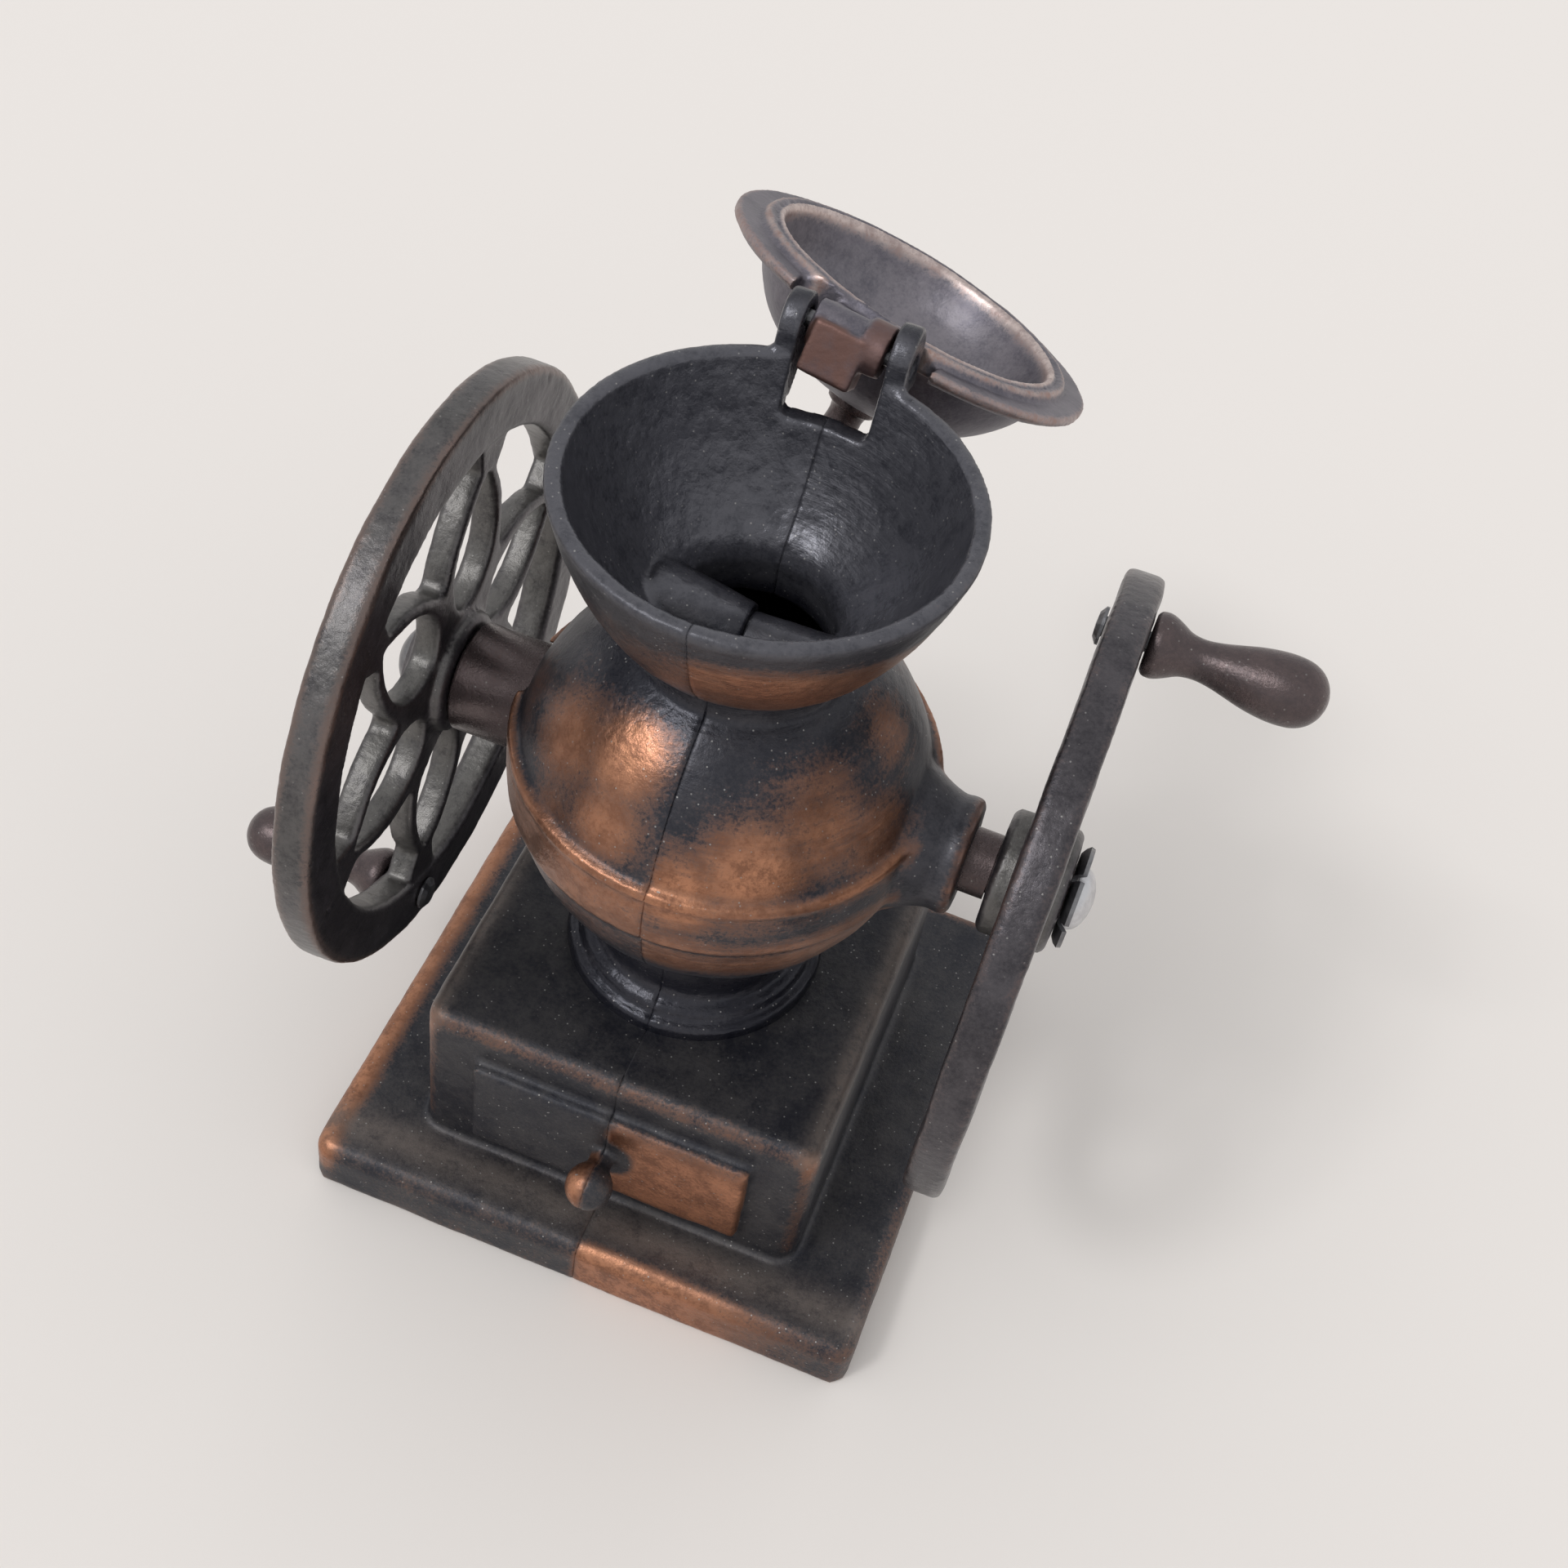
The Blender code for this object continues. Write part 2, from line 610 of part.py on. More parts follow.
def wheel(name, rim_x, out_sign, hub_in, hub_out, bore_r, mat, handle_deg):
    """A wheel about X. rim_x is the rim face nearest the body, out_sign points away from it."""
    x_far = rim_x + out_sign * RIM_T
    mid = (rim_x + x_far) / 2
    e = 0.55
    rim_line = [(RIM_IN, -RIM_T / 2 + 0.4), (RIM_IN + 0.4, -RIM_T / 2), (WHEEL_R - e, -RIM_T / 2)]
    rim_line += [(WHEEL_R, -RIM_T / 2 + e), (WHEEL_R, RIM_T / 2 - e), (WHEEL_R - e, RIM_T / 2)]
    rim_line += [(RIM_IN + 0.4, RIM_T / 2), (RIM_IN, RIM_T / 2 - 0.4)]
    rim = revolve("rim", rim_line)
    spokes = spoke_plate("spokes", -SPOKE_T / 2, SPOKE_T / 2, math.radians(PETAL_PHASE))
    h0, h1 = sorted((hub_in - mid, hub_out - mid))
    hub = revolve(
        "hub",
        [(0, h0), (HUB_R - 0.4, h0), (HUB_R, h0 + 0.4), (HUB_R, h1 - 0.4), (HUB_R - 0.4, h1), (0, h1)],
        32,
    )
    join(rim, spokes, hub)
    cut(rim, cylinder("bore", bore_r, h0 - 1.0, h1 + 1.0, 24))
    a = math.radians(handle_deg)
    pin_hole = cylinder("pin_hole", HANDLE_PIN_R + PIN_GAP, -RIM_T, RIM_T, 16)
    move(pin_hole, HANDLE_ORBIT * math.cos(a), HANDLE_ORBIT * math.sin(a), 0)
    cut(rim, pin_hole)
    to_x(rim)
    move(rim, mid, 0, AXLE_Z)
    return finish(rim, name, mat)


HUB_LEFT_IN = WHEEL_LEFT_X + 0.6
HUB_LEFT_OUT = WHEEL_LEFT_X - RIM_T - 0.2
HUB_RIGHT_IN = WHEEL_RIGHT_X - 1.5
HUB_RIGHT_OUT = WHEEL_RIGHT_X + RIM_T + 0.9
left_wheel = wheel(
    "left_flywheel", WHEEL_LEFT_X, -1, HUB_LEFT_IN, HUB_LEFT_OUT, AXLE_END_R + PIN_GAP, wheel_mat, PETAL_PHASE + 180
)
right_wheel = wheel(
    "right_flywheel", WHEEL_RIGHT_X, 1, HUB_RIGHT_IN, HUB_RIGHT_OUT, AXLE_END_R + PIN_GAP, wheel_mat, PETAL_PHASE
)

# stepped axle: thick through the left wall, thin through the right boss, both ends peened to domes
axle_line = [(0, HUB_LEFT_OUT - 1.6), (1.1, HUB_LEFT_OUT - 1.45), (2.0, HUB_LEFT_OUT - 0.95)]
axle_line += [(AXLE_END_R + 0.55, HUB_LEFT_OUT - 0.45), (AXLE_END_R + 0.55, HUB_LEFT_OUT - PIN_GAP)]
axle_line += [(AXLE_END_R, HUB_LEFT_OUT - PIN_GAP), (AXLE_END_R, HUB_LEFT_IN + PIN_GAP)]
axle_line += [(SLEEVE_R, HUB_LEFT_IN + PIN_GAP), (SLEEVE_R, -SHOULDER_X - 0.4), (SLEEVE_R - 0.4, -SHOULDER_X)]
axle_line += [(AXLE_R + 0.6, -SHOULDER_X), (AXLE_R + 0.6, SHOULDER_X - 0.4), (AXLE_R, SHOULDER_X + 0.2)]
axle_line += [(AXLE_R, HUB_RIGHT_IN - PIN_GAP), (AXLE_END_R, HUB_RIGHT_IN - PIN_GAP)]
WASHER_T = 0.35
washer_x = HUB_RIGHT_OUT + PIN_GAP
dome_x = washer_x + WASHER_T + PIN_GAP
axle_line += [(AXLE_END_R, dome_x), (AXLE_END_R + 0.4, dome_x), (AXLE_END_R + 0.4, dome_x + 0.4)]
axle_line += [(AXLE_END_R + 0.05, dome_x + 0.9), (0.6 * AXLE_END_R, dome_x + 1.3)]
axle_line += [(0, dome_x + 1.5)]
axle = to_x(revolve("axle", axle_line, 32))
move(axle, 0, 0, AXLE_Z)
finish(axle, "axle_shaft", brown_mat)

w0 = washer_x
washer_line = [(AXLE_END_R + PIN_GAP, w0), (3.1, w0), (3.75, w0 + 0.55), (3.65, w0 + 0.85), (3.0, w0 + WASHER_T)]
washer_line += [(AXLE_END_R + PIN_GAP, w0 + WASHER_T)]
washer = to_x(revolve("washer", washer_line, 32))
for k in range(6):
    slot = block("slot", -0.25, 0.25, 2.5, 4.5, w0 - 1.0, w0 + 2.0)
    transform(slot, Matrix.Rotation(k * math.pi / 3 + 0.3, 4, "Z"))
    cut(washer, to_x(slot))
move(washer, 0, 0, AXLE_Z)
finish(washer, "axle_push_washer", steel_mat)

# ---------------------------------------------------------------- handles and their rivets
BORE_NECK = HANDLE_PIN_R + PIN_GAP
CAV_0 = HANDLE_L * 0.40
CAV_1 = HANDLE_L * 0.62
share_line = [(0.0, 0.86), (0.03, 0.94), (0.09, 0.92), (0.15, 0.78), (0.21, 0.63), (0.29, 0.58), (0.38, 0.64)]
share_line += [(0.48, 0.77), (0.58, 0.90), (0.68, 0.98), (0.77, 1.0), (0.86, 0.94), (0.93, 0.78), (0.98, 0.45)]


def handle(name, rim_face, sign, degrees, mat):
    outline = [(BORE_NECK, SEAT_GAP)]
    outline += [(HANDLE_R * r, SEAT_GAP + t * (HANDLE_L - SEAT_GAP)) for t, r in share_line]
    outline += [(0, HANDLE_L), (0, CAV_1), (HANDLE_R * 0.5, CAV_1), (HANDLE_R * 0.5, CAV_0), (BORE_NECK, CAV_0)]
    obj = revolve(name, outline, 24)
    if sign < 0:
        transform(obj, Matrix.Rotation(math.pi, 4, "Y"))
    to_x(obj)
    a = math.radians(degrees)
    move(obj, rim_face, HANDLE_ORBIT * math.cos(a), AXLE_Z + HANDLE_ORBIT * math.sin(a))
    return finish(obj, name, mat)


def handle_rivet(name, rim_face, sign, degrees, mat):
    back = -RIM_T - PIN_GAP
    stem_end = CAV_0 + SEAT_GAP
    outline = [(0, back - 0.55), (0.85, back - 0.5), (1.3, back - 0.2), (1.3, back), (HANDLE_PIN_R, back)]
    outline += [(HANDLE_PIN_R, stem_end), (HANDLE_R * 0.5 - PIN_GAP, stem_end)]
    outline += [(HANDLE_R * 0.5 - PIN_GAP, stem_end + 0.9), (0.6, CAV_1 - SEAT_GAP), (0, CAV_1 - SEAT_GAP)]
    obj = revolve(name, outline, 16)
    if sign < 0:
        transform(obj, Matrix.Rotation(math.pi, 4, "Y"))
    to_x(obj)
    a = math.radians(degrees)
    move(obj, rim_face, HANDLE_ORBIT * math.cos(a), AXLE_Z + HANDLE_ORBIT * math.sin(a))
    return finish(obj, name, mat)


LEFT_FACE = WHEEL_LEFT_X - RIM_T
RIGHT_FACE = WHEEL_RIGHT_X + RIM_T
left_handle = handle("left_handle", LEFT_FACE, -1, PETAL_PHASE + 180, brown_mat)
right_handle = handle("right_handle", RIGHT_FACE, 1, PETAL_PHASE, brown_mat)
handle_rivet("left_handle_rivet", LEFT_FACE, -1, PETAL_PHASE + 180, steel_mat)
handle_rivet("right_handle_rivet", RIGHT_FACE, 1, PETAL_PHASE, steel_mat)

# ---------------------------------------------------------------- lid, drawn shut and then swung open
SEAT_Z = RIM_Z + SEAT_GAP
LID_IN = 0.76 * LID_R
RING = HOPPER_R - HOPPER_WALL - 0.35
BRIM_T = 1.1
D = LID_DOME_H
under = [(LID_R - 0.15, 0.0), (RING + 0.15, 0.0), (RING + 0.1, -0.3), (RING, -0.35), (RING - 0.1, -0.65)]
under += [(LID_IN + 0.25, -0.65), (LID_IN, -0.45), (LID_IN * 0.965, D * 0.12), (LID_IN * 0.88, D * 0.40)]
under += [(LID_IN * 0.72, D * 0.62), (LID_IN * 0.50, D * 0.79), (LID_IN * 0.25, D * 0.90), (0, D * 0.935)]
crown = D + 1.1
over = [(0, crown + FINIAL_L), (FINIAL_R * 0.75, crown + FINIAL_L - 0.1), (FINIAL_R, crown + FINIAL_L - 0.5)]
over += [(FINIAL_R * 0.95, crown + 1.0), (FINIAL_R + 0.55, crown + 0.8), (FINIAL_R + 0.55, crown + 0.25)]
over += [(FINIAL_R + 0.1, crown + 0.05), (LID_IN * 0.32, crown * 0.965), (LID_IN * 0.58, crown * 0.855)]
over += [(LID_IN * 0.80, crown * 0.68), (LID_IN * 0.95, crown * 0.46), (LID_IN * 1.035, crown * 0.26)]
over += [(LID_IN * 1.07, BRIM_T + 0.35), (LID_IN * 1.11, BRIM_T), (LID_R - 0.5, BRIM_T - 0.1), (LID_R, BRIM_T - 0.5)]
over += [(LID_R, 0.15)]
lid = revolve("lid", [(r, SEAT_Z + z) for r, z in under] + [(r, SEAT_Z + z) for r, z in over], SEG)
# the tipped hinge axis drifts away from the middle of the ears, so the brim keeps that much more clear of them
HINGE_DRIFT = EAR_OUT * (math.sin(abs(skew)) + math.sin(abs(yaw)))
CLEAR_Y = HINGE_Y - EAR_R - 0.3 - HINGE_DRIFT
ARM_Y = min(LID_IN + 0.38, CLEAR_Y - 0.15)
brim_room = block("brim_room", -EAR_OUT - 0.9, EAR_OUT + 0.9, CLEAR_Y, LID_R + 2.0, SEAT_Z - 2.0, SEAT_Z + 4.0)
cut(lid, brim_room)
KNUCKLE = EAR_IN - 0.35
arm = prism_x(
    "arm",
    [(ARM_Y, SEAT_Z + 0.1), (HINGE_Y, HINGE_Z - BARREL_R + 0.25), (HINGE_Y, HINGE_Z + 1.1)]
    + [(ARM_Y, SEAT_Z + BRIM_T)],
    -KNUCKLE + 0.3,
    KNUCKLE - 0.3,
)
barrel = on_hinge(to_x(cylinder("barrel", BARREL_R, -KNUCKLE, KNUCKLE, 24, 0.15)))
tail = prism_x("tail", [(-1.15, 0.0), (1.15, 0.0), (1.15, 2.9), (0.85, 3.2), (-0.85, 3.2), (-1.15, 2.9)], 0.35 - KNUCKLE, KNUCKLE - 0.35)
transform(tail, Matrix.Rotation(math.radians(-4.0), 4, "X"))
on_hinge(tail)
join(lid, arm, barrel, tail)
cut(lid, pin_room_lid)
swing = Matrix.Translation(HINGE_AT * MM)
swing = swing @ Matrix.Rotation(math.radians(-LID_OPEN_DEG), 4, HINGE_AXIS) @ Matrix.Translation(-HINGE_AT * MM)
transform(lid, swing)
finish(lid, "lid", lid_mat)

pin = on_hinge(to_x(cylinder("pin", HINGE_PIN_R, 0.65 - EAR_OUT, EAR_OUT - 0.65, 16, 0.1)))
finish(pin, "lid_hinge_pin", steel_mat)

# ---------------------------------------------------------------- sharpener
sharp = block("sharp", -SHARP_W / 2, SHARP_W / 2, SHARP_Y0, SHARP_Y1, SHARP_Z, SHARP_Z + SHARP_H)
bevel_edges(sharp, lambda a, b: abs(a.y - b.y) > 0.01, 0.8, 1)
CONE_L = SHARP_L - 2.0
cone = revolve(
    "cone",
    [(0, SHARP_Y1 - CONE_L), (0.9, SHARP_Y1 - CONE_L), (PENCIL_R, SHARP_Y1 - 3.0), (PENCIL_R, SHARP_Y1 + 1.0)]
    + [(0, SHARP_Y1 + 1.0)],
    24,
)
to_y(cone)
move(cone, 0, 0, PENCIL_Z)
cut(sharp, cone)
slope = math.atan2(PENCIL_R - 0.9, CONE_L - 3.0)
BLADE_T = 0.5
BLADE_W = 7.6
# the blade bed is a wedge cut along the lower side of the cone
bed_y0 = SHARP_Y0 - 1.0
bed_y1 = SHARP_Y1 - 2.2
z_a = PENCIL_Z - 1.35
z_b = PENCIL_Z - 1.35 - math.tan(slope) * (bed_y1 - bed_y0)
bed = prism_x("bed", [(bed_y0, SHARP_Z - 2), (bed_y1, SHARP_Z - 2), (bed_y1, z_b), (bed_y0, z_a)], -1.8, SHARP_W)
cut(sharp, bed)
screw_y = SHARP_Y0 + SHARP_L * 0.42
screw_z = z_a - math.tan(slope) * (screw_y - bed_y0)
SCREW_X = 4.3
tilt = Matrix.Rotation(-slope, 4, "X")
screw_hole = cylinder("screw_hole", 0.85 + PIN_GAP, -0.5, 3.6, 16)
transform(screw_hole, tilt)
move(screw_hole, SCREW_X, screw_y, screw_z)
cut(sharp, screw_hole)
finish(sharp, "sharpener_block", zinc_mat)

b0 = -1.6
blade = block("blade", b0, b0 + BLADE_W, -9.4, 9.6, -BLADE_T - 0.12, -0.12)
bevel_edges(blade, lambda a, b: a.x < b0 + 0.01 and b.x < b0 + 0.01 and abs(a.y - b.y) > 1 and a.z < -0.3, 0.35, 1)
cut(blade, move(cylinder("blade_hole", 0.85 + PIN_GAP, -2.0, 2.0, 16), SCREW_X, 0, 0))
transform(blade, tilt)
move(blade, 0, screw_y, screw_z)
finish(blade, "sharpener_blade", blade_mat)
top = -BLADE_T - 0.12 - PIN_GAP
screw = revolve(
    "screw",
    [(0, top - 1.0), (1.1, top - 1.0), (1.5, top - 0.7), (1.5, top), (0.85, top), (0.85, 3.2), (0.5, 3.5), (0, 3.5)],
    16,
)
cut(screw, block("slot", -2.0, 2.0, -0.2, 0.2, top - 1.5, top - 0.6))
move(screw, SCREW_X, 0, 0)
transform(screw, tilt)
move(screw, 0, screw_y, screw_z)
finish(screw, "sharpener_screw", steel_mat)


# ---------------------------------------------------------------- common frame and joint origins
def set_origin(name, point):
    obj = bpy.data.objects[name]
    obj.data.transform(Matrix.Translation(-point))
    obj.location = point


parts = [o for o in bpy.data.objects if o.type == "MESH"]
low = [1e9] * 3
high = [-1e9] * 3
for part in parts:
    for vert in part.data.vertices:
        for axis in range(3):
            low[axis] = min(low[axis], vert.co[axis])
            high[axis] = max(high[axis], vert.co[axis])
shift = Vector((-(low[0] + high[0]) / 2, -(low[1] + high[1]) / 2, -low[2]))
for part in parts:
    part.data.transform(Matrix.Translation(shift))
axle_at = Vector((0, 0, AXLE_Z * MM)) + shift
for name in ("left_flywheel", "right_flywheel", "axle_shaft", "axle_push_washer"):
    set_origin(name, axle_at)
for name, turn, face in (
    ("left_handle", PETAL_PHASE + 180, LEFT_FACE),
    ("right_handle", PETAL_PHASE, RIGHT_FACE),
    ("left_handle_rivet", PETAL_PHASE + 180, LEFT_FACE),
    ("right_handle_rivet", PETAL_PHASE, RIGHT_FACE),
):
    a = math.radians(turn)
    spot = Vector((face, HANDLE_ORBIT * math.cos(a), AXLE_Z + HANDLE_ORBIT * math.sin(a))) * MM + shift
    set_origin(name, spot)
hinge_at = HINGE_AT * MM + shift
set_origin("lid", hinge_at)
set_origin("lid_hinge_pin", hinge_at)
bpy.context.view_layer.update()
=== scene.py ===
"""Looks of the miniature die cast coffee mill: fine castings, antique copper finish, camera and light.

Shapes are drawn in millimetres about the hopper axis, with the ground at z = 0. The axle's and the hinge's own
positions in the CAD frame say where they go.
"""
import json
import math

import bmesh
import bpy
import numpy as np
from mathutils import Matrix, Vector


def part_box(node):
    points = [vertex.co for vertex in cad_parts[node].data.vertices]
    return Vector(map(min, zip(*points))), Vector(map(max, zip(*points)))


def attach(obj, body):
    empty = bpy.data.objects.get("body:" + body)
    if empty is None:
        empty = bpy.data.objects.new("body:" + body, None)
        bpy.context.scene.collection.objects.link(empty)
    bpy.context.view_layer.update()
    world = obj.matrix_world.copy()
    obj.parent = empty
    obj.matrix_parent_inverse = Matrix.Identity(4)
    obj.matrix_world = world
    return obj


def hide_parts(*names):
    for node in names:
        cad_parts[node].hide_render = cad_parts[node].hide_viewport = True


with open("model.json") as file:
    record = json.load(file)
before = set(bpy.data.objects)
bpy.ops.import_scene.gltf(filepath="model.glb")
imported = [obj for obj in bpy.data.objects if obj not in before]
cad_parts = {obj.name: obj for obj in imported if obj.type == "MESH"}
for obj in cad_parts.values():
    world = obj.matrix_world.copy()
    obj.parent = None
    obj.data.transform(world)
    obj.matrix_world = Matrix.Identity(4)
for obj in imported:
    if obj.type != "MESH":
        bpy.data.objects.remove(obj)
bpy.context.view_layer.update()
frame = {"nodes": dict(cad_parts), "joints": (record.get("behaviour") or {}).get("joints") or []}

MM = 0.001
JOINT = {j["name"]: j for j in frame["joints"]}
AXLE_AT = Vector(JOINT["crank_turn"]["pos_m"]) / MM
HINGE_AT = Vector(JOINT["lid_hinge"]["pos_m"]) / MM
HINGE_AXIS = Vector(JOINT["lid_hinge"]["axis"]).normalized()
CENTRE = Vector((AXLE_AT.x, AXLE_AT.y, 0.0))
AXLE_Z = AXLE_AT.z
COARSE = 1.0


def local_box(node):
    """A CAD node's corners in millimetres about the hopper axis."""
    low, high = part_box(node)
    return low / MM - CENTRE, high / MM - CENTRE


# ---------------------------------------------------------------- sizes, in millimetres
BASE_LOW, BASE_HIGH = local_box("body_left_half")
WHEEL_LOW, WHEEL_HIGH = local_box("left_flywheel")
PLATE_HALF_X = -BASE_LOW.x
PLATE_FRONT_Y = -21.5
PLATE_BACK_Y = BASE_HIGH.y
PLATE_T = 5.0
BOX_HALF_X = 16.0
BOX_FRONT_Y = -15.8
BOX_BACK_Y = 18.2
BOX_TOP = 20.8
BASE_WALL = 1.6
DRAWER_HALF_X = 0.705 * BOX_HALF_X
DRAWER_Y = BOX_FRONT_Y - 1.2
DRAWER_LOW = PLATE_T + 2.69
DRAWER_HIGH = PLATE_T + 12.48
KNOB_R = 1.85
KNOB_REACH = 2.9
KNOB_Z = 0.5 * (DRAWER_LOW + DRAWER_HIGH) + 0.3
PENCIL_R = 4.4
PENCIL_Z = 10.218
GLOBE_R = 15.0
GLOBE_WALL = 1.5
NECK_R = 7.2
NECK_Z = AXLE_Z + math.sqrt(GLOBE_R ** 2 - (NECK_R + 0.1) ** 2)
HOPPER_Z = NECK_Z + 1.6
HOPPER_R = 14.0
HOPPER_H = 12.4
HOPPER_WALL = 1.2
RIM_Z = HOPPER_Z + HOPPER_H
STEM_R = 7.9
FLANGE_R = 10.1
BAND_LOW = AXLE_Z - 1.8
BAND_HIGH = AXLE_Z + 3.5
SEAM_HALF = -0.06  # below zero: the two halves' skins overlap, so that no light shows through
BOSS_R = 4.25
BOSS_END = GLOBE_R + 3.6
PEG_Z = HOPPER_Z - 1.2
PEG_R = {"left": (2.5, 3.5), "right": (2.0, 2.2)}  # at the seam and at the wall
HINGE = HINGE_AT - CENTRE
HINGE_SKEW = math.radians(7.0)  # the pin isn't level in its ears
HINGE_YAW = math.radians(3.5)
EAR_IN = 3.05
EAR_OUT = 4.6
EAR_R = 2.2
HEEL = {"left": -40.0, "right": -58.0}  # degrees round the pin to the heel that stops the lid
PIN_HOLE_R = 0.72
WHEEL_R = (WHEEL_HIGH.z - WHEEL_LOW.z) / 2
RIM_IN = WHEEL_R - 4.4
RIM_T = 2.8
SPOKE_T = 2.1
HUB_R = 4.6
PETALS = 6
PETAL_PHASE = math.radians(72.0)
PETAL_IN = 5.1
PETAL_OUT = RIM_IN - 2.5
LEFT_FACE = -20.6
RIGHT_FACE = 22.1
HUB_LEFT = (LEFT_FACE + 0.6, LEFT_FACE - RIM_T - 0.2)
HUB_RIGHT = (RIGHT_FACE - 1.5, RIGHT_FACE + RIM_T + 0.9)
AXLE_END_R = 1.9
SHAFT_R = 2.4
JOURNAL_R = 4.1
GAP = 0.12  # between the hub, the washer and the domed end
WASHER_T = 0.35
HANDLE_L = 12.2
HANDLE_R = 2.35
LID_R = 14.5
LID_IN = 0.76 * LID_R
LID_OPEN = math.radians(JOINT["lid_hinge"]["range_deg"][1])
LID_DOME_H = 7.2
LID_CROWN = LID_DOME_H + 1.1
LID_FACING = Matrix.Rotation(-LID_OPEN, 3, HINGE_AXIS) @ Vector((0.0, 0.0, -1.0))
SEAT_Z = RIM_Z + 0.15
BARREL_R = 1.65
STRAP_R = 2.02
STRAP_IN = 0.85
TAIL_OUT = 1.5
ROUND = 128
BUMP_DEPTH = 0.0001  # metres


# ---------------------------------------------------------------- mesh tools
def add_object(name, mesh):
    obj = bpy.data.objects.new(name, mesh)
    bpy.context.scene.collection.objects.link(obj)
    return obj


def clean(obj, dist=1e-4):
    """Weld doubles and turn the faces outward."""
    bm = bmesh.new()
    bm.from_mesh(obj.data)
    bmesh.ops.remove_doubles(bm, verts=bm.verts, dist=dist)
    bmesh.ops.recalc_face_normals(bm, faces=bm.faces)
    bm.to_mesh(obj.data)
    bm.free()
    return obj


def make(name, verts, faces):
    mesh = bpy.data.meshes.new(name)
    mesh.from_pydata(verts, [], faces)
    return clean(add_object(name, mesh))


def transform(obj, matrix):
    obj.data.transform(matrix)
    return obj


def move(obj, x, y, z):
    return transform(obj, Matrix.Translation((x, y, z)))


def to_x(obj):
    """Turn a shape drawn along Z so that it lies along X."""
    return transform(obj, Matrix(((0, 0, 1, 0), (1, 0, 0, 0), (0, 1, 0, 0), (0, 0, 0, 1))))


def to_y(obj):
    """Turn a shape drawn along Z so that it lies along Y."""
    return transform(obj, Matrix(((0, 1, 0, 0), (0, 0, 1, 0), (1, 0, 0, 0), (0, 0, 0, 1))))


def flowing(points, per=4):
    """More points along a smooth curve through the given ones."""
    out = []
    last = len(points) - 1
    for i in range(last):
        four = [points[max(i - 1, 0)], points[i], points[i + 1], points[min(i + 2, last)]]
        for k in range(per):
            t = k / per
            weights = (
                0.5 * (-t + 2 * t * t - t ** 3),
                0.5 * (2 - 5 * t * t + 3 * t ** 3),
                0.5 * (t + 4 * t * t - 3 * t ** 3),
                0.5 * (-t * t + t ** 3),
            )
            out.append(tuple(sum(w * p[c] for w, p in zip(weights, four)) for c in (0, 1)))
    out.append(points[-1])
    return out


def revolve(name, profile, seg=ROUND, phase=0.0):
    """Turn a closed (radius, height) outline about Z."""
    verts = []
    rings = []
    for r, z in profile:
        if r < 1e-6:
            rings.append([len(verts)])
            verts.append((0.0, 0.0, z))
            continue
        rings.append(list(range(len(verts), len(verts) + seg)))
        for k in range(seg):
            a = phase + 2 * math.pi * k / seg
            verts.append((r * math.cos(a), r * math.sin(a), z))
    faces = []
    for i, a in enumerate(rings):
        b = rings[(i + 1) % len(rings)]
        if len(a) == 1 and len(b) == 1:
            continue
        for k in range(seg):
            j = (k + 1) % seg
            if len(a) == 1:
                faces.append((a[0], b[j], b[k]))
            elif len(b) == 1:
                faces.append((a[k], a[j], b[0]))
            else:
                faces.append((a[k], a[j], b[j], b[k]))
    return make(name, verts, faces)


def cylinder(name, r, z0, z1, seg=48):
    return revolve(name, [(0, z0), (r, z0), (r, z1), (0, z1)], seg)


def block(name, x0, x1, y0, y1, z0, z1):
    verts = [(x, y, z) for z in (z0, z1) for y in (y0, y1) for x in (x0, x1)]
    faces = [(0, 2, 3, 1), (4, 5, 7, 6), (0, 1, 5, 4), (2, 6, 7, 3), (0, 4, 6, 2), (1, 3, 7, 5)]
    return make(name, verts, faces)


def bevel_edges(obj, test, width, segments=5):
    bm = bmesh.new()
    bm.from_mesh(obj.data)
    picked = [e for e in bm.edges if test(e.verts[0].co, e.verts[1].co)]
    bmesh.ops.bevel(bm, geom=picked, offset=width, segments=segments, profile=0.5, affect="EDGES")
    bm.to_mesh(obj.data)
    bm.free()
    return clean(obj)


def rounded_block(name, x0, x1, y0, y1, z0, z1, side, top):
    obj = block(name, x0, x1, y0, y1, z0, z1)
    bevel_edges(obj, lambda a, b: abs(a.z - b.z) > 0.01, side)
    return bevel_edges(obj, lambda a, b: a.z > z1 - 0.01 and b.z > z1 - 0.01, top)


def prism_x(name, outline, x0, x1):
    """A solid with a (y, z) outline between two X planes."""
    n = len(outline)
    verts = [(x0, y, z) for y, z in outline] + [(x1, y, z) for y, z in outline]
    faces = [tuple(reversed(range(n))), tuple(range(n, 2 * n))]
    faces += [(i, (i + 1) % n, n + (i + 1) % n, n + i) for i in range(n)]
    return make(name, verts, faces)


def applied(obj):
    """Give the object the mesh that its modifiers make."""
    graph = bpy.context.evaluated_depsgraph_get()
    mesh = bpy.data.meshes.new_from_object(obj.evaluated_get(graph))
    obj.modifiers.clear()
    old = obj.data
    obj.data = mesh
    bpy.data.meshes.remove(old)
    return obj


def boolean(target, tool, kind):
    mod = target.modifiers.new(kind, "BOOLEAN")
    mod.operation = kind
    mod.solver = "MANIFOLD"
    mod.object = tool
    applied(target)
    bpy.data.objects.remove(tool, do_unlink=True)
    return target


def join(target, *tools):
    for tool in tools:
        boolean(target, tool, "UNION")
    return target


def cut(target, *tools):
    for tool in tools:
        boolean(target, tool, "DIFFERENCE")
    return target


def copy_of(obj, name):
    return add_object(name, obj.data.copy())


def clouds(name, size, depth):
    texture = bpy.data.textures.new(name, "CLOUDS")
    texture.noise_scale = size
    texture.noise_depth = depth
    return texture


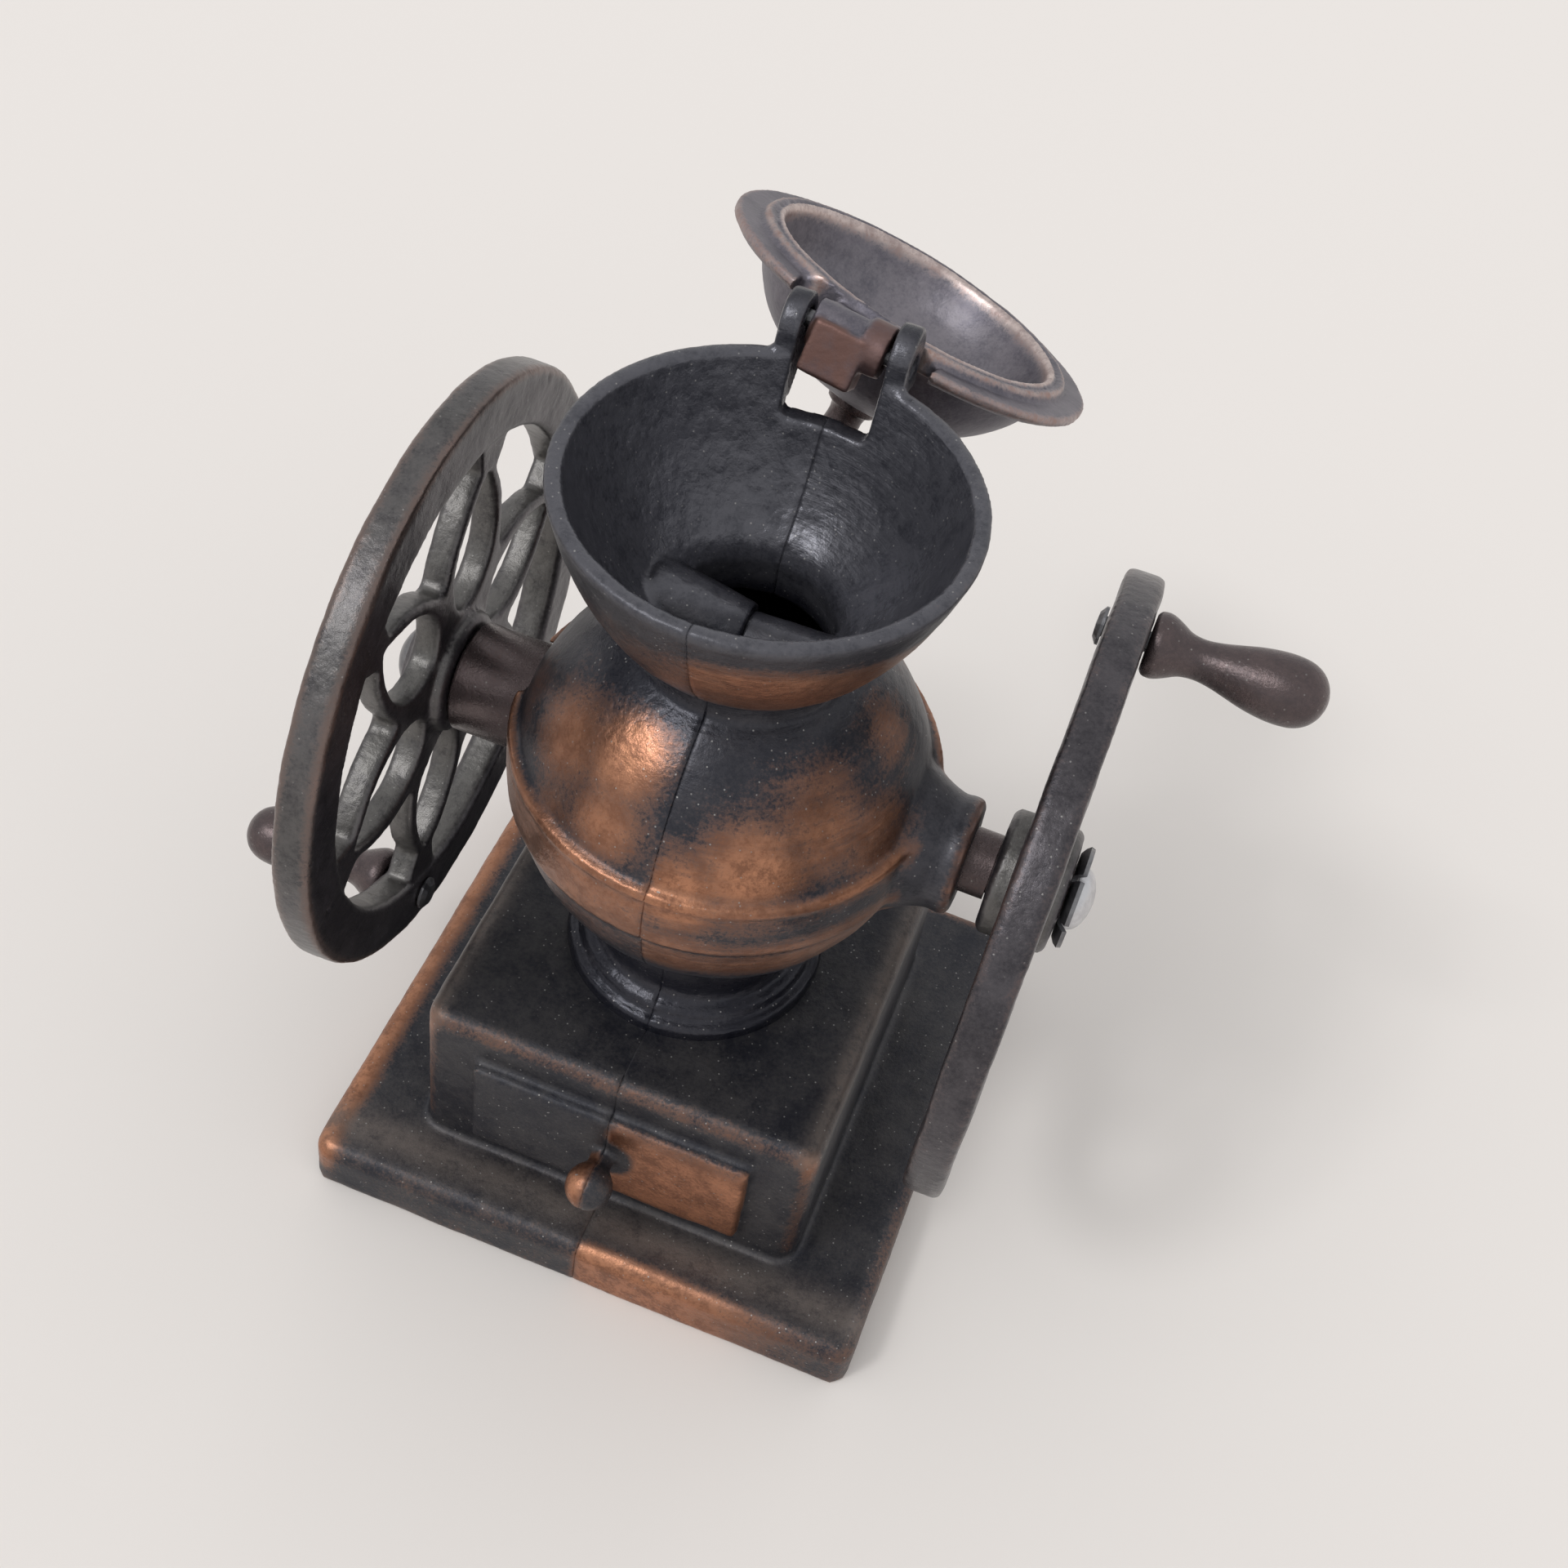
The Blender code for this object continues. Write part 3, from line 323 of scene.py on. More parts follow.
LUMPS = clouds("casting_lumps", 4.0, 1)
GRAIN = clouds("casting_grain", 0.55, 2)


def cast(obj, voxel, soften=3, lump=0.14, grain=0.05):
    """One even skin over a sharp solid, with the soft edges and slightly uneven faces of a casting."""
    remesh = obj.modifiers.new("skin", "REMESH")
    remesh.mode = "VOXEL"
    remesh.voxel_size = voxel * COARSE
    soft = obj.modifiers.new("soft", "SMOOTH")
    soft.factor = 0.5
    soft.iterations = soften
    for texture, strength in ((LUMPS, lump), (GRAIN, grain)):
        uneven = obj.modifiers.new("uneven", "DISPLACE")
        uneven.texture = texture
        uneven.texture_coords = "LOCAL"
        uneven.strength = strength
        uneven.mid_level = 0.5
    return applied(obj)


def points_of(obj):
    """Points, normals and edges of a mesh as arrays, in millimetres."""
    mesh = obj.data
    co = np.empty(len(mesh.vertices) * 3, np.float32)
    mesh.vertices.foreach_get("co", co)
    no = np.empty(len(mesh.vertices) * 3, np.float32)
    mesh.vertices.foreach_get("normal", no)
    edges = np.empty(len(mesh.edges) * 2, np.int32)
    mesh.edges.foreach_get("vertices", edges)
    return co.reshape(-1, 3).astype(float), no.reshape(-1, 3).astype(float), edges.reshape(-1, 2)


def averaged(values, edges, rounds):
    """Each point's value averaged with its neighbours', a number of times over."""
    count = len(values)
    ends = np.concatenate([edges[:, 0], edges[:, 1]])
    others = np.concatenate([edges[:, 1], edges[:, 0]])
    share = 1.0 + np.bincount(ends, minlength=count)
    for _ in range(rounds):
        values = (values + np.bincount(ends, weights=values[others], minlength=count)) / share
    return values


def ridges(co, no, edges, spread=3):
    """How far each point stands proud of its neighbours: 0 on a flat, up to 1 on a sharp outer edge."""
    smooth = np.stack([averaged(co[:, k], edges, spread) for k in range(3)], 1)
    proud = np.einsum("ij,ij->i", co - smooth, no)
    return averaged(proud, edges, 2)


def paint(obj, rub_rule, edge_gain=9.0, edge_share=0.3, seam=False):
    """Store the piece's edges and hollows, and how rubbed, grey, glossy or brown its rule makes it."""
    co, no, edges = points_of(obj)
    proud = ridges(co, no, edges)
    nothing = np.zeros(len(co))
    rub, grey, gloss, *brown = rub_rule(co, no) if rub_rule else (nothing, nothing, nothing)
    edge = np.clip(proud * edge_gain, 0, 1) * edge_share
    if seam:
        edge = edge * ease(np.abs(co[:, 0]), 0.3, 0.9)
    hollow = np.clip(-proud * edge_gain, 0, 1)
    layers = [("rub", averaged(rub, edges, 5)), ("edge", edge), ("hollow", hollow)]
    layers += [("grey", averaged(grey, edges, 4)), ("gloss", averaged(gloss, edges, 4))]
    layers += [("brown", averaged(layer, edges, 2)) for layer in brown]
    for name, values in layers:
        attribute = obj.data.attributes.new(name, "FLOAT", "POINT")
        attribute.data.foreach_set("value", np.clip(values, 0, 1).astype(np.float32))


def place(obj, body, slot, *nodes):
    """Put a finished shape, drawn in millimetres, onto the frame."""
    transform(obj, Matrix.Translation(CENTRE * MM) @ Matrix.Scale(MM, 4))
    obj.data.shade_smooth()
    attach(obj, body)
    if nodes:
        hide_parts(*nodes)
    return obj


# ---------------------------------------------------------------- finishes
class Finish:
    """A procedural material, built from a few named kinds of node."""

    def __init__(self, name):
        self.material = bpy.data.materials.new(name)
        self.material.use_nodes = True
        self.tree = self.material.node_tree
        self.shader = self.tree.nodes["Principled BSDF"]
        self.place = self.tree.nodes.new("ShaderNodeTexCoord").outputs["Object"]

    def feed(self, socket, value):
        if isinstance(value, bpy.types.NodeSocket):
            self.tree.links.new(value, socket)
        elif isinstance(value, tuple) and len(value) == 3 and socket.type == "RGBA":
            socket.default_value = (*value, 1.0)
        else:
            socket.default_value = value

    def node(self, kind, inputs, out=0, **settings):
        made = self.tree.nodes.new(kind)
        for key, value in settings.items():
            setattr(made, key, value)
        for key, value in inputs.items():
            self.feed(made.inputs[key], value)
        return made.outputs[out]

    def noise(self, scale, detail=3.0, rough=0.6, stretch=(1.0, 1.0, 1.0)):
        where = self.node("ShaderNodeMapping", {"Vector": self.place, "Scale": stretch})
        return self.node(
            "ShaderNodeTexNoise", {"Vector": where, "Scale": scale, "Detail": detail, "Roughness": rough}
        )

    def cells(self, scale):
        return self.node("ShaderNodeTexVoronoi", {"Vector": self.place, "Scale": scale})

    def painted(self, name):
        return self.node("ShaderNodeAttribute", {}, "Fac", attribute_name=name)

    def maths(self, kind, a, b=0.0):
        return self.node("ShaderNodeMath", {0: a, 1: b}, operation=kind)

    def plus(self, *values):
        total = values[0]
        for value in values[1:]:
            total = self.maths("ADD", total, value)
        return total

    def times(self, a, b):
        return self.maths("MULTIPLY", a, b)

    def swing(self, value, amount):
        """A noise centred on zero."""
        return self.times(self.maths("SUBTRACT", value, 0.5), amount)

    def between(self, value, low, high, start=0.0, end=1.0):
        inputs = {"Value": value, 1: low, 2: high, 3: start, 4: end}
        return self.node("ShaderNodeMapRange", inputs, interpolation_type="SMOOTHSTEP")

    def blend(self, share, a, b):
        mixer = self.tree.nodes.new("ShaderNodeMix")
        mixer.data_type = "RGBA"
        self.feed(mixer.inputs[0], share)
        self.feed(mixer.inputs[6], a)
        self.feed(mixer.inputs[7], b)
        return mixer.outputs[2]

    def scalar_blend(self, share, a, b):
        return self.between(share, 0.0, 1.0, a, b)

    def bump(self, height, strength, distance):
        return self.node("ShaderNodeBump", {"Height": height, "Strength": strength, "Distance": distance})


def antique(
    name, patina, patina_2, rubbed, rubbed_2, bare, rough=(0.44, 0.40), metal=(0.5, 1.0), grain=0.5,
    streak=None, streak_share=0.0, dust=0.0, dust_colour=(0.36, 0.35, 0.34)
):
    """Dark chemical patina over a copper wash, rubbed, bare, brown or glossy where the stored values say."""
    f = Finish(name)
    broad = f.noise(150.0, 2.0)
    middle = f.noise(700.0, 4.0, 0.65)
    fine = f.noise(3400.0, 4.0, 0.75)
    gloss = f.painted("gloss")
    tone = f.plus(f.times(broad, 0.35), f.times(middle, 0.30), f.times(fine, 0.35))
    dark = f.blend(f.between(tone, 0.36, 0.64), patina, patina_2)
    dark = f.blend(f.times(gloss, 0.55), dark, GLOSSY_BLACK)
    noises = f.plus(f.swing(middle, 0.50), f.swing(fine, 0.95), f.swing(broad, 0.35))
    marks = None
    if streak:
        marks = f.noise(420.0, 4.0, 0.7, streak)
        noises = f.plus(noises, f.swing(marks, streak_share))
    worn = f.plus(f.painted("rub"), f.painted("edge"), f.times(f.painted("hollow"), -0.5), noises)
    worn = f.between(worn, 0.22, 1.0)
    copper = f.blend(f.between(f.plus(middle, f.swing(fine, 0.8)), 0.3, 0.7), rubbed, rubbed_2)
    colour = f.blend(worn, dark, copper)
    plain = f.times(f.painted("grey"), f.between(f.plus(middle, f.swing(fine, 0.6)), 0.2, 0.6, 0.45, 1.0))
    colour = f.blend(plain, colour, bare)
    colour = f.blend(f.times(f.painted("brown"), f.between(middle, 0.2, 0.6, 0.6, 1.0)), colour, WARM_BROWN)
    if dust > 0:
        specks = f.between(f.cells(1700.0), 0.04, 0.15, dust, 0.0)
        colour = f.blend(f.times(specks, f.between(middle, 0.36, 0.56)), colour, dust_colour)
    f.feed(f.shader.inputs["Base Color"], colour)
    f.shader.inputs["Specular IOR Level"].default_value = 0.6
    sheen = f.plus(f.scalar_blend(worn, rough[0], rough[1]), f.times(gloss, -0.19))
    f.feed(f.shader.inputs["Roughness"], f.plus(sheen, f.swing(middle, 0.16), f.swing(fine, 0.16)))
    f.feed(f.shader.inputs["Metallic"], f.scalar_blend(worn, metal[0], metal[1]))
    wrinkles = f.maths("ABSOLUTE", f.swing(f.noise(750.0, 2.0, 0.5, (1.0, 1.0, 0.6)), 2.0))
    height = f.plus(f.times(fine, 0.35), f.times(middle, 0.5), f.times(wrinkles, f.times(gloss, 0.7)))
    if marks:
        height = f.plus(height, f.times(marks, 0.8))
    f.feed(f.shader.inputs["Normal"], f.bump(height, grain, BUMP_DEPTH))
    return f.material


def plain_metal(name, colour, colour_2, rough, grain=0.3, metal=0.9, streak=(1.0, 1.0, 1.0)):
    f = Finish(name)
    middle = f.noise(800.0, 4.0, 0.6, streak)
    fine = f.noise(3600.0, 3.0, 0.7, streak)
    share = f.plus(f.between(middle, 0.3, 0.7), f.painted("edge"))
    f.feed(f.shader.inputs["Base Color"], f.blend(share, colour, colour_2))
    f.feed(f.shader.inputs["Roughness"], f.plus(rough, f.swing(middle, 0.2), f.swing(fine, 0.15)))
    f.shader.inputs["Metallic"].default_value = metal
    f.feed(f.shader.inputs["Normal"], f.bump(f.plus(fine, middle), grain, 0.8 * BUMP_DEPTH))
    return f.material


def coat(obj, material):
    obj.data.materials.clear()
    obj.data.materials.append(material)


CHARCOAL = (0.014, 0.015, 0.023)
SLATE = (0.046, 0.044, 0.052)
COPPER = (0.50, 0.240, 0.140)
COPPER_DEEP = (0.25, 0.120, 0.075)
GREY_METAL = (0.145, 0.145, 0.165)
WARM_BROWN = (0.15, 0.080, 0.066)
GLOSSY_BLACK = (0.009, 0.010, 0.020)
UPPER_LEFT = antique(
    "antique_upper_left", CHARCOAL, SLATE, COPPER, COPPER_DEEP, GREY_METAL, rough=(0.33, 0.30), grain=0.9,
    dust=0.8
)
UPPER_RIGHT = antique(
    "antique_upper_right", CHARCOAL, SLATE, COPPER, COPPER_DEEP, GREY_METAL, streak=(0.25, 0.25, 3.0),
    streak_share=0.6, rough=(0.38, 0.36), grain=0.7, dust=0.8
)
BASE_FINISH = antique(
    "antique_base", CHARCOAL, (0.058, 0.055, 0.058), COPPER, COPPER_DEEP, (0.18, 0.15, 0.135),
    rough=(0.44, 0.38), grain=0.9, dust=0.9
)
WHEEL_FINISH = antique(
    "antique_wheel", (0.030, 0.027, 0.033), (0.082, 0.074, 0.083), (0.30, 0.185, 0.155), (0.17, 0.10, 0.085),
    (0.20, 0.195, 0.18), rough=(0.34, 0.32), metal=(0.7, 1.0), grain=0.9, dust=0.6
)
LID_FINISH = antique(
    "antique_lid", (0.095, 0.090, 0.112), (0.195, 0.180, 0.205), (0.66, 0.54, 0.50), (0.36, 0.24, 0.21),
    (0.46, 0.44, 0.45), rough=(0.45, 0.38), metal=(0.8, 1.0), grain=0.5
)
BROWN_FINISH = antique(
    "antique_brown", (0.105, 0.078, 0.078), (0.065, 0.052, 0.054), (0.30, 0.19, 0.17), (0.19, 0.11, 0.095),
    GREY_METAL, rough=(0.28, 0.28), metal=(0.7, 1.0), grain=1.0, dust=0.6
)
BRIGHT_ZINC = plain_metal("bare_zinc", (0.42, 0.42, 0.44), (0.60, 0.60, 0.62), 0.34)
DARK_STEEL = plain_metal("dark_steel", (0.10, 0.10, 0.11), (0.22, 0.22, 0.23), 0.34)
BLADE_STEEL = plain_metal(
    "blade_steel", (0.55, 0.55, 0.57), (0.66, 0.66, 0.68), 0.22, grain=0.25, metal=1.0, streak=(0.2, 4.0, 1.0)
)


# ---------------------------------------------------------------- where the finish is rubbed
def on_globe(azimuth, elevation):
    """Direction from the globe's centre; azimuth 0 faces the front and 90 the right wheel."""
    a = math.radians(azimuth)
    e = math.radians(elevation)
    return np.array((math.sin(a) * math.cos(e), -math.cos(a) * math.cos(e), math.sin(e)))


def ease(value, low, high):
    t = np.clip((value - low) / (high - low), 0, 1)
    return t * t * (3 - 2 * t)


def spots(co, places):
    """The strongest of several soft round patches on the globe."""
    out = co - np.array((0.0, 0.0, AXLE_Z))
    reach = np.linalg.norm(out, axis=1)
    out /= reach[:, None]
    value = np.zeros(len(co))
    for azimuth, elevation, spread, strength in places:
        angle = np.arccos(np.clip(out @ on_globe(azimuth, elevation), -1, 1))
        value = np.maximum(value, strength * np.exp(-(angle / math.radians(spread)) ** 2))
    return value * (reach > GLOBE_R - 1.0) * (reach < GLOBE_R + 1.2)


def ring(value, low, rise, high, fall):
    """A soft band: rising from low over rise, and falling from high over fall."""
    return ease(value, low, low + rise) * (1 - ease(value, high, high + fall))


# Rubbed patches on the globe: azimuth, elevation and spread in degrees, then strength.
LEFT_PATCHES = [
    (-21, 42, 15, 1.0), (-42, 34, 18, 0.82), (-18, 24, 15, 0.85), (-72, 25, 16, 0.42), (-36, 15, 13, 0.65),
    (160, 20, 30, 0.6), (-140, 35, 24, 0.5),
]
RIGHT_PATCHES = [
    (48, 33, 20, 0.80), (27, 22, 19, 1.0), (8, 14, 15, 1.0), (66, 22, 18, 0.75), (88, 42, 15, 0.6),
    (150, 25, 30, 0.7),
]


def upper_rub(co, no):
    """Rubbed copper on the globe, band, bowl and boss end; grey rim, boss and bowl inside; gloss in the bowl."""
    x, y, z = co.T
    left = x < 0
    out = np.hypot(x, y)
    outside = (no[:, 0] * x + no[:, 1] * y) > 0
    from_axle = np.hypot(y, z - AXLE_Z)
    rub = np.where(left, spots(co, LEFT_PATCHES), spots(co, RIGHT_PATCHES))
    rub *= 1 - ease(z, AXLE_Z + 12.0, AXLE_Z + 13.6)
    band = ring(z, BAND_LOW - 0.1, 0.5, BAND_HIGH - 0.1, 0.5)
    band *= (out > GLOBE_R - 0.4) * (out < GLOBE_R + 1.0)
    dark_middle = np.exp(-((z - AXLE_Z - 1.2) / 1.4) ** 2)
    rub = np.maximum(rub, band * np.where(left, 0.72, 0.78 - 0.62 * dark_middle))
    under = ring(z, AXLE_Z - 8.5, 4.5, AXLE_Z - 2.6, 0.8) * outside
    rub = np.maximum(rub, under * np.where(left, 0.4, 0.72) * (out < GLOBE_R + 0.5) * (out > 11))
    bowl = ring(z, HOPPER_Z + 1.2, 2.8, HOPPER_Z + 8.0, 3.6) * outside
    facing = np.arctan2(x, -y)
    sector = np.where(left, 0.42, 0.80) * np.exp(-((facing - 0.45) / 1.25) ** 2)
    rub = np.maximum(rub, bowl * (sector + 0.12))
    inside = (out < HOPPER_R - 0.5) & ~outside & (z > NECK_Z)
    rub = np.where(inside, 0.0, rub)
    boss_edge = ring(x, BOSS_END - 1.1, 0.6, BOSS_END - 0.2, 0.4) * (from_axle > BOSS_R - 0.6)
    rub = np.maximum(rub, boss_edge * 0.55)
    grey = ring(out, HOPPER_R - 2.0, 0.7, HOPPER_R + 0.5, 0.5) * ease(z, RIM_Z - 1.1, RIM_Z - 0.2) * 0.45
    boss = (x > GLOBE_R - 0.5) * (from_axle < BOSS_R + 2.0)
    grey = np.maximum(grey, np.maximum(inside * 0.55, boss * 0.22))
    shoulder = ease(z, AXLE_Z + 9.0, AXLE_Z + 12.5) * (1 - ease(z, NECK_Z, NECK_Z + 1.0))
    gloss = np.maximum(inside * 0.9, (z < BOX_TOP + 4.5) * 0.8)
    gloss = np.maximum(gloss, shoulder * np.where(left, 0.7, 0.35))
    gloss = np.maximum(gloss, (z > RIM_Z + 0.6) * 0.5)
    return rub, grey, gloss


def base_rub(co, no):
    """Rubbed copper on the plate's edges, the drawer front, the left half of the knob and the box corners."""
    x, y, z = co.T
    left = x < 0
    rub = np.zeros(len(co))
    plate = z < PLATE_T + 0.3
    side_left = ease(-x, PLATE_HALF_X - 3.4, PLATE_HALF_X - 0.9) * ease(z, 0.6, 3.0)
    rub = np.maximum(rub, plate * side_left * (0.80 + 0.15 * ease(-y, -4, 16)))
    front = ease(-y, -PLATE_FRONT_Y - 2.0, -PLATE_FRONT_Y - 0.5)
    rub = np.maximum(rub, plate * front * np.where(left, 0.26, 0.98 - 0.62 * ease(x, 6, 21)))
    side_right = ease(x, PLATE_HALF_X - 2.0, PLATE_HALF_X - 0.5)
    rub = np.maximum(rub, plate * side_right * 0.36)
    back = ease(y, PLATE_BACK_Y - 2.0, PLATE_BACK_Y - 0.6)
    rub = np.maximum(rub, plate * back * 0.55)
    drawer = (y < BOX_FRONT_Y - 0.5) & (z > PLATE_T + 1.2)
    panel = np.where(left, 0.05, 1.0 - 0.55 * ease(z, 15.8, 17.4)) * (np.hypot(x, z - KNOB_Z) > 2.3)
    rub = np.where(drawer & (y > BOX_FRONT_Y - 1.6), panel, rub)
    knob = (y < BOX_FRONT_Y - 1.6) & (z > PLATE_T + 1.2)
    rub = np.where(knob, np.where(left, 0.85, 0.12), rub)
    above = z > PLATE_T + 1.0
    corner = np.exp(-((np.abs(x) - BOX_HALF_X + 0.5) / 0.9) ** 2)
    corner = corner * np.exp(-((y - BOX_FRONT_Y - 0.5) / 1.0) ** 2)
    rub = np.maximum(rub, corner * above * (0.45 + 0.4 * ease(z, BOX_TOP - 4.5, BOX_TOP - 0.8)))
    lip = ease(z, BOX_TOP - 2.2, BOX_TOP - 0.5) * ease(-y, -BOX_FRONT_Y - 1.6, -BOX_FRONT_Y - 0.2)
    rub = np.maximum(rub, lip * 0.42)
    top_edge = ease(z, BOX_TOP - 2.0, BOX_TOP - 0.5) * np.exp(-((np.abs(x) - BOX_HALF_X + 0.7) / 0.8) ** 2)
    grey = top_edge * 0.80
    rub = np.maximum(rub, top_edge * 0.25)
    frost = np.exp(-((-y + PLATE_FRONT_Y + 3.2) / 1.6) ** 2) * plate * (z > PLATE_T - 0.8) * 0.75
    gloss = (z < 1.0) * 0.2
    return rub, np.maximum(grey, frost), gloss


def wheel_rub(co, no):
    """Brown lines along both edges of the rim, dark faces, and grey on the spokes' walls and the left rim."""
    reach = np.hypot(co[:, 1], co[:, 2] - AXLE_Z)
    middle = RIM_T / 2 + np.where(co[:, 0] < 0, -LEFT_FACE, RIGHT_FACE)
    aside = np.abs(np.abs(co[:, 0]) - middle)
    line = ease(aside, RIM_T / 2 - 0.85, RIM_T / 2 - 0.3)
    outer = ease(reach, WHEEL_R - 1.0, WHEEL_R - 0.25)
    left = co[:, 0] < 0
    rub = outer * np.where(left, 0.16 + 0.50 * line, 0.08 + 0.20 * line)
    wall = 1 - ease(np.abs(no[:, 0]), 0.25, 0.75)
    inner = 1 - ease(reach, RIM_IN + 0.4, RIM_IN + 1.2)
    grey = wall * inner * 0.60 + outer * np.where(left, 0.34, 0.06)
    return rub, grey, outer * 0.2


def lid_rub(co, no):
    """Pale worn rings on the brim, and a copper brown tail block and strap at the hinge."""
    shut = co - np.array(HINGE)
    turn = np.array(Matrix.Rotation(LID_OPEN, 3, HINGE_AXIS))
    shut = shut @ turn.T + np.array(HINGE)
    out = np.hypot(shut[:, 0], shut[:, 1])
    behind = shut[:, 1] - HINGE.y
    above = shut[:, 2] - HINGE.z
    from_pin = np.hypot(behind, above)
    near_hinge = (from_pin < 4.0) & (np.abs(shut[:, 0]) < EAR_IN)
    brim = (out > LID_IN - 0.3) & (shut[:, 2] < SEAT_Z + 1.2) & ~near_hinge
    lip = np.exp(-((out - LID_IN - 0.15) / 0.30) ** 2)
    rim = np.exp(-((out - LID_R + 0.1) / 0.30) ** 2)
    step = np.exp(-((out - HOPPER_R + HOPPER_WALL + 0.45) / 0.20) ** 2)
    rub = brim * np.maximum(np.maximum(lip * 1.3, rim * 0.5), step * 0.8)
    tail = near_hinge & (shut[:, 0] < TAIL_OUT) & (above > -0.8) & (behind > -1.3) & (from_pin > 1.78)
    strap = near_hinge & (shut[:, 0] > STRAP_IN) & (behind > -1.9) & ~tail
    rub = np.where(tail | strap, 0.0, rub)
    inside = (out < LID_IN - 0.4) & (no @ np.array(LID_FACING) > 0)
    brown = np.where(tail, 0.95, strap * 0.8)
    return rub, np.maximum(inside * 0.12, brim * lip * 0.5), inside * 0.05, brown


# ---------------------------------------------------------------- hopper, globe and stem
def sphere_line(radius, z0, z1, count):
    a0 = math.asin((z0 - AXLE_Z) / radius)
    a1 = math.asin((z1 - AXLE_Z) / radius)
    steps = [a0 + (a1 - a0) * k / count for k in range(count + 1)]
    return [(radius * math.cos(a), AXLE_Z + radius * math.sin(a)) for a in steps]


def upper_outline():
    """Closed outline of the wall from the flange up to the rim and back down inside."""
    stem_top = AXLE_Z - math.sqrt(GLOBE_R ** 2 - (STEM_R + 0.2) ** 2)
    line = [(STEM_R - GLOBE_WALL, BOX_TOP - 0.6), (FLANGE_R, BOX_TOP - 0.6), (FLANGE_R, BOX_TOP + 0.7)]
    line += [(FLANGE_R - 0.30, BOX_TOP + 1.12), (FLANGE_R - 0.9, BOX_TOP + 1.2)]
    line += [(FLANGE_R - 1.0, BOX_TOP + 1.75), (FLANGE_R - 1.35, BOX_TOP + 2.1)]
    line += [(STEM_R + 0.35, BOX_TOP + 2.3), (STEM_R, BOX_TOP + 3.1), (STEM_R - 0.05, stem_top - 0.9)]
    line += sphere_line(GLOBE_R, stem_top, BAND_LOW - 0.15, 16)
    line += [(GLOBE_R + 0.30, BAND_LOW + 0.15), (GLOBE_R + 0.42, AXLE_Z), (GLOBE_R + 0.40, AXLE_Z + 1.8)]
    line += [(GLOBE_R + 0.28, BAND_HIGH - 1.0), (GLOBE_R + 0.46, BAND_HIGH - 0.6)]
    line += [(GLOBE_R + 0.30, BAND_HIGH - 0.1)]
    line += sphere_line(GLOBE_R, BAND_HIGH + 0.1, NECK_Z, 22)
    line += [(NECK_R, NECK_Z + 0.6)]
    share = [(0.0, 0.0), (0.14, 0.07), (0.36, 0.20), (0.56, 0.36), (0.73, 0.54), (0.87, 0.74), (0.96, 0.90)]
    bowl = [(NECK_R + f * (HOPPER_R - NECK_R), HOPPER_Z + g * HOPPER_H) for f, g in share]
    line += flowing(bowl + [(HOPPER_R, RIM_Z - 0.3)], 5)
    line += [(HOPPER_R - 0.2, RIM_Z), (HOPPER_R - HOPPER_WALL + 0.1, RIM_Z)]
    low = NECK_R - HOPPER_WALL
    high = HOPPER_R - HOPPER_WALL
    share = [(0.0, 0.02), (0.10, 0.12), (0.31, 0.24), (0.53, 0.40), (0.71, 0.57), (0.86, 0.76), (0.96, 0.91)]
    bowl = [(low + f * (high - low), HOPPER_Z + g * HOPPER_H) for f, g in share]
    line += list(reversed(flowing(bowl + [(high, RIM_Z - 0.2)], 5)))
    hollow_r = GLOBE_R - GLOBE_WALL
    bore = STEM_R - GLOBE_WALL
    hollow_top = AXLE_Z + math.sqrt(hollow_r ** 2 - low ** 2)
    hollow_end = AXLE_Z - math.sqrt(hollow_r ** 2 - bore ** 2)
    line += sphere_line(hollow_r, hollow_top, hollow_end, 24)
    return line


def ear_plate(sign, heel):
    """A hinge ear with a heel behind it that the open lid rests on."""
    def polar(radius, degrees):
        a = math.radians(degrees)
        return (HINGE.y + radius * math.cos(a), HINGE.z + radius * math.sin(a))

    line = [(HOPPER_R - 1.6, RIM_Z - 0.6), polar(EAR_R, 180)]
    line += [polar(EAR_R, a) for a in range(170, -21, -10)]
    line += [polar(2.4, heel + 4), polar(3.25, heel), polar(3.2, heel - 16), polar(2.6, heel - 36)]
    line += [(HOPPER_R - 0.9, RIM_Z - 3.9), (HOPPER_R - 1.9, RIM_Z - 3.0)]
    line.reverse()
    return prism_x("ear", line, EAR_IN * sign, EAR_OUT * sign)


def on_hinge(obj):
    """Turn a shape drawn along Z so that it lies along the hinge pin."""
    turn = HINGE_AXIS.to_track_quat("Z", "Y").to_matrix().to_4x4()
    return transform(obj, Matrix.Translation(HINGE) @ turn)


def half_space(sign, reach=60.0):
    """Everything beyond the seam on the other side."""
    if sign < 0:
        return block("slab", -SEAM_HALF, reach, -reach, reach, -reach, 2 * reach)
    return block("slab", -reach, SEAM_HALF, -reach, reach, -reach, 2 * reach)


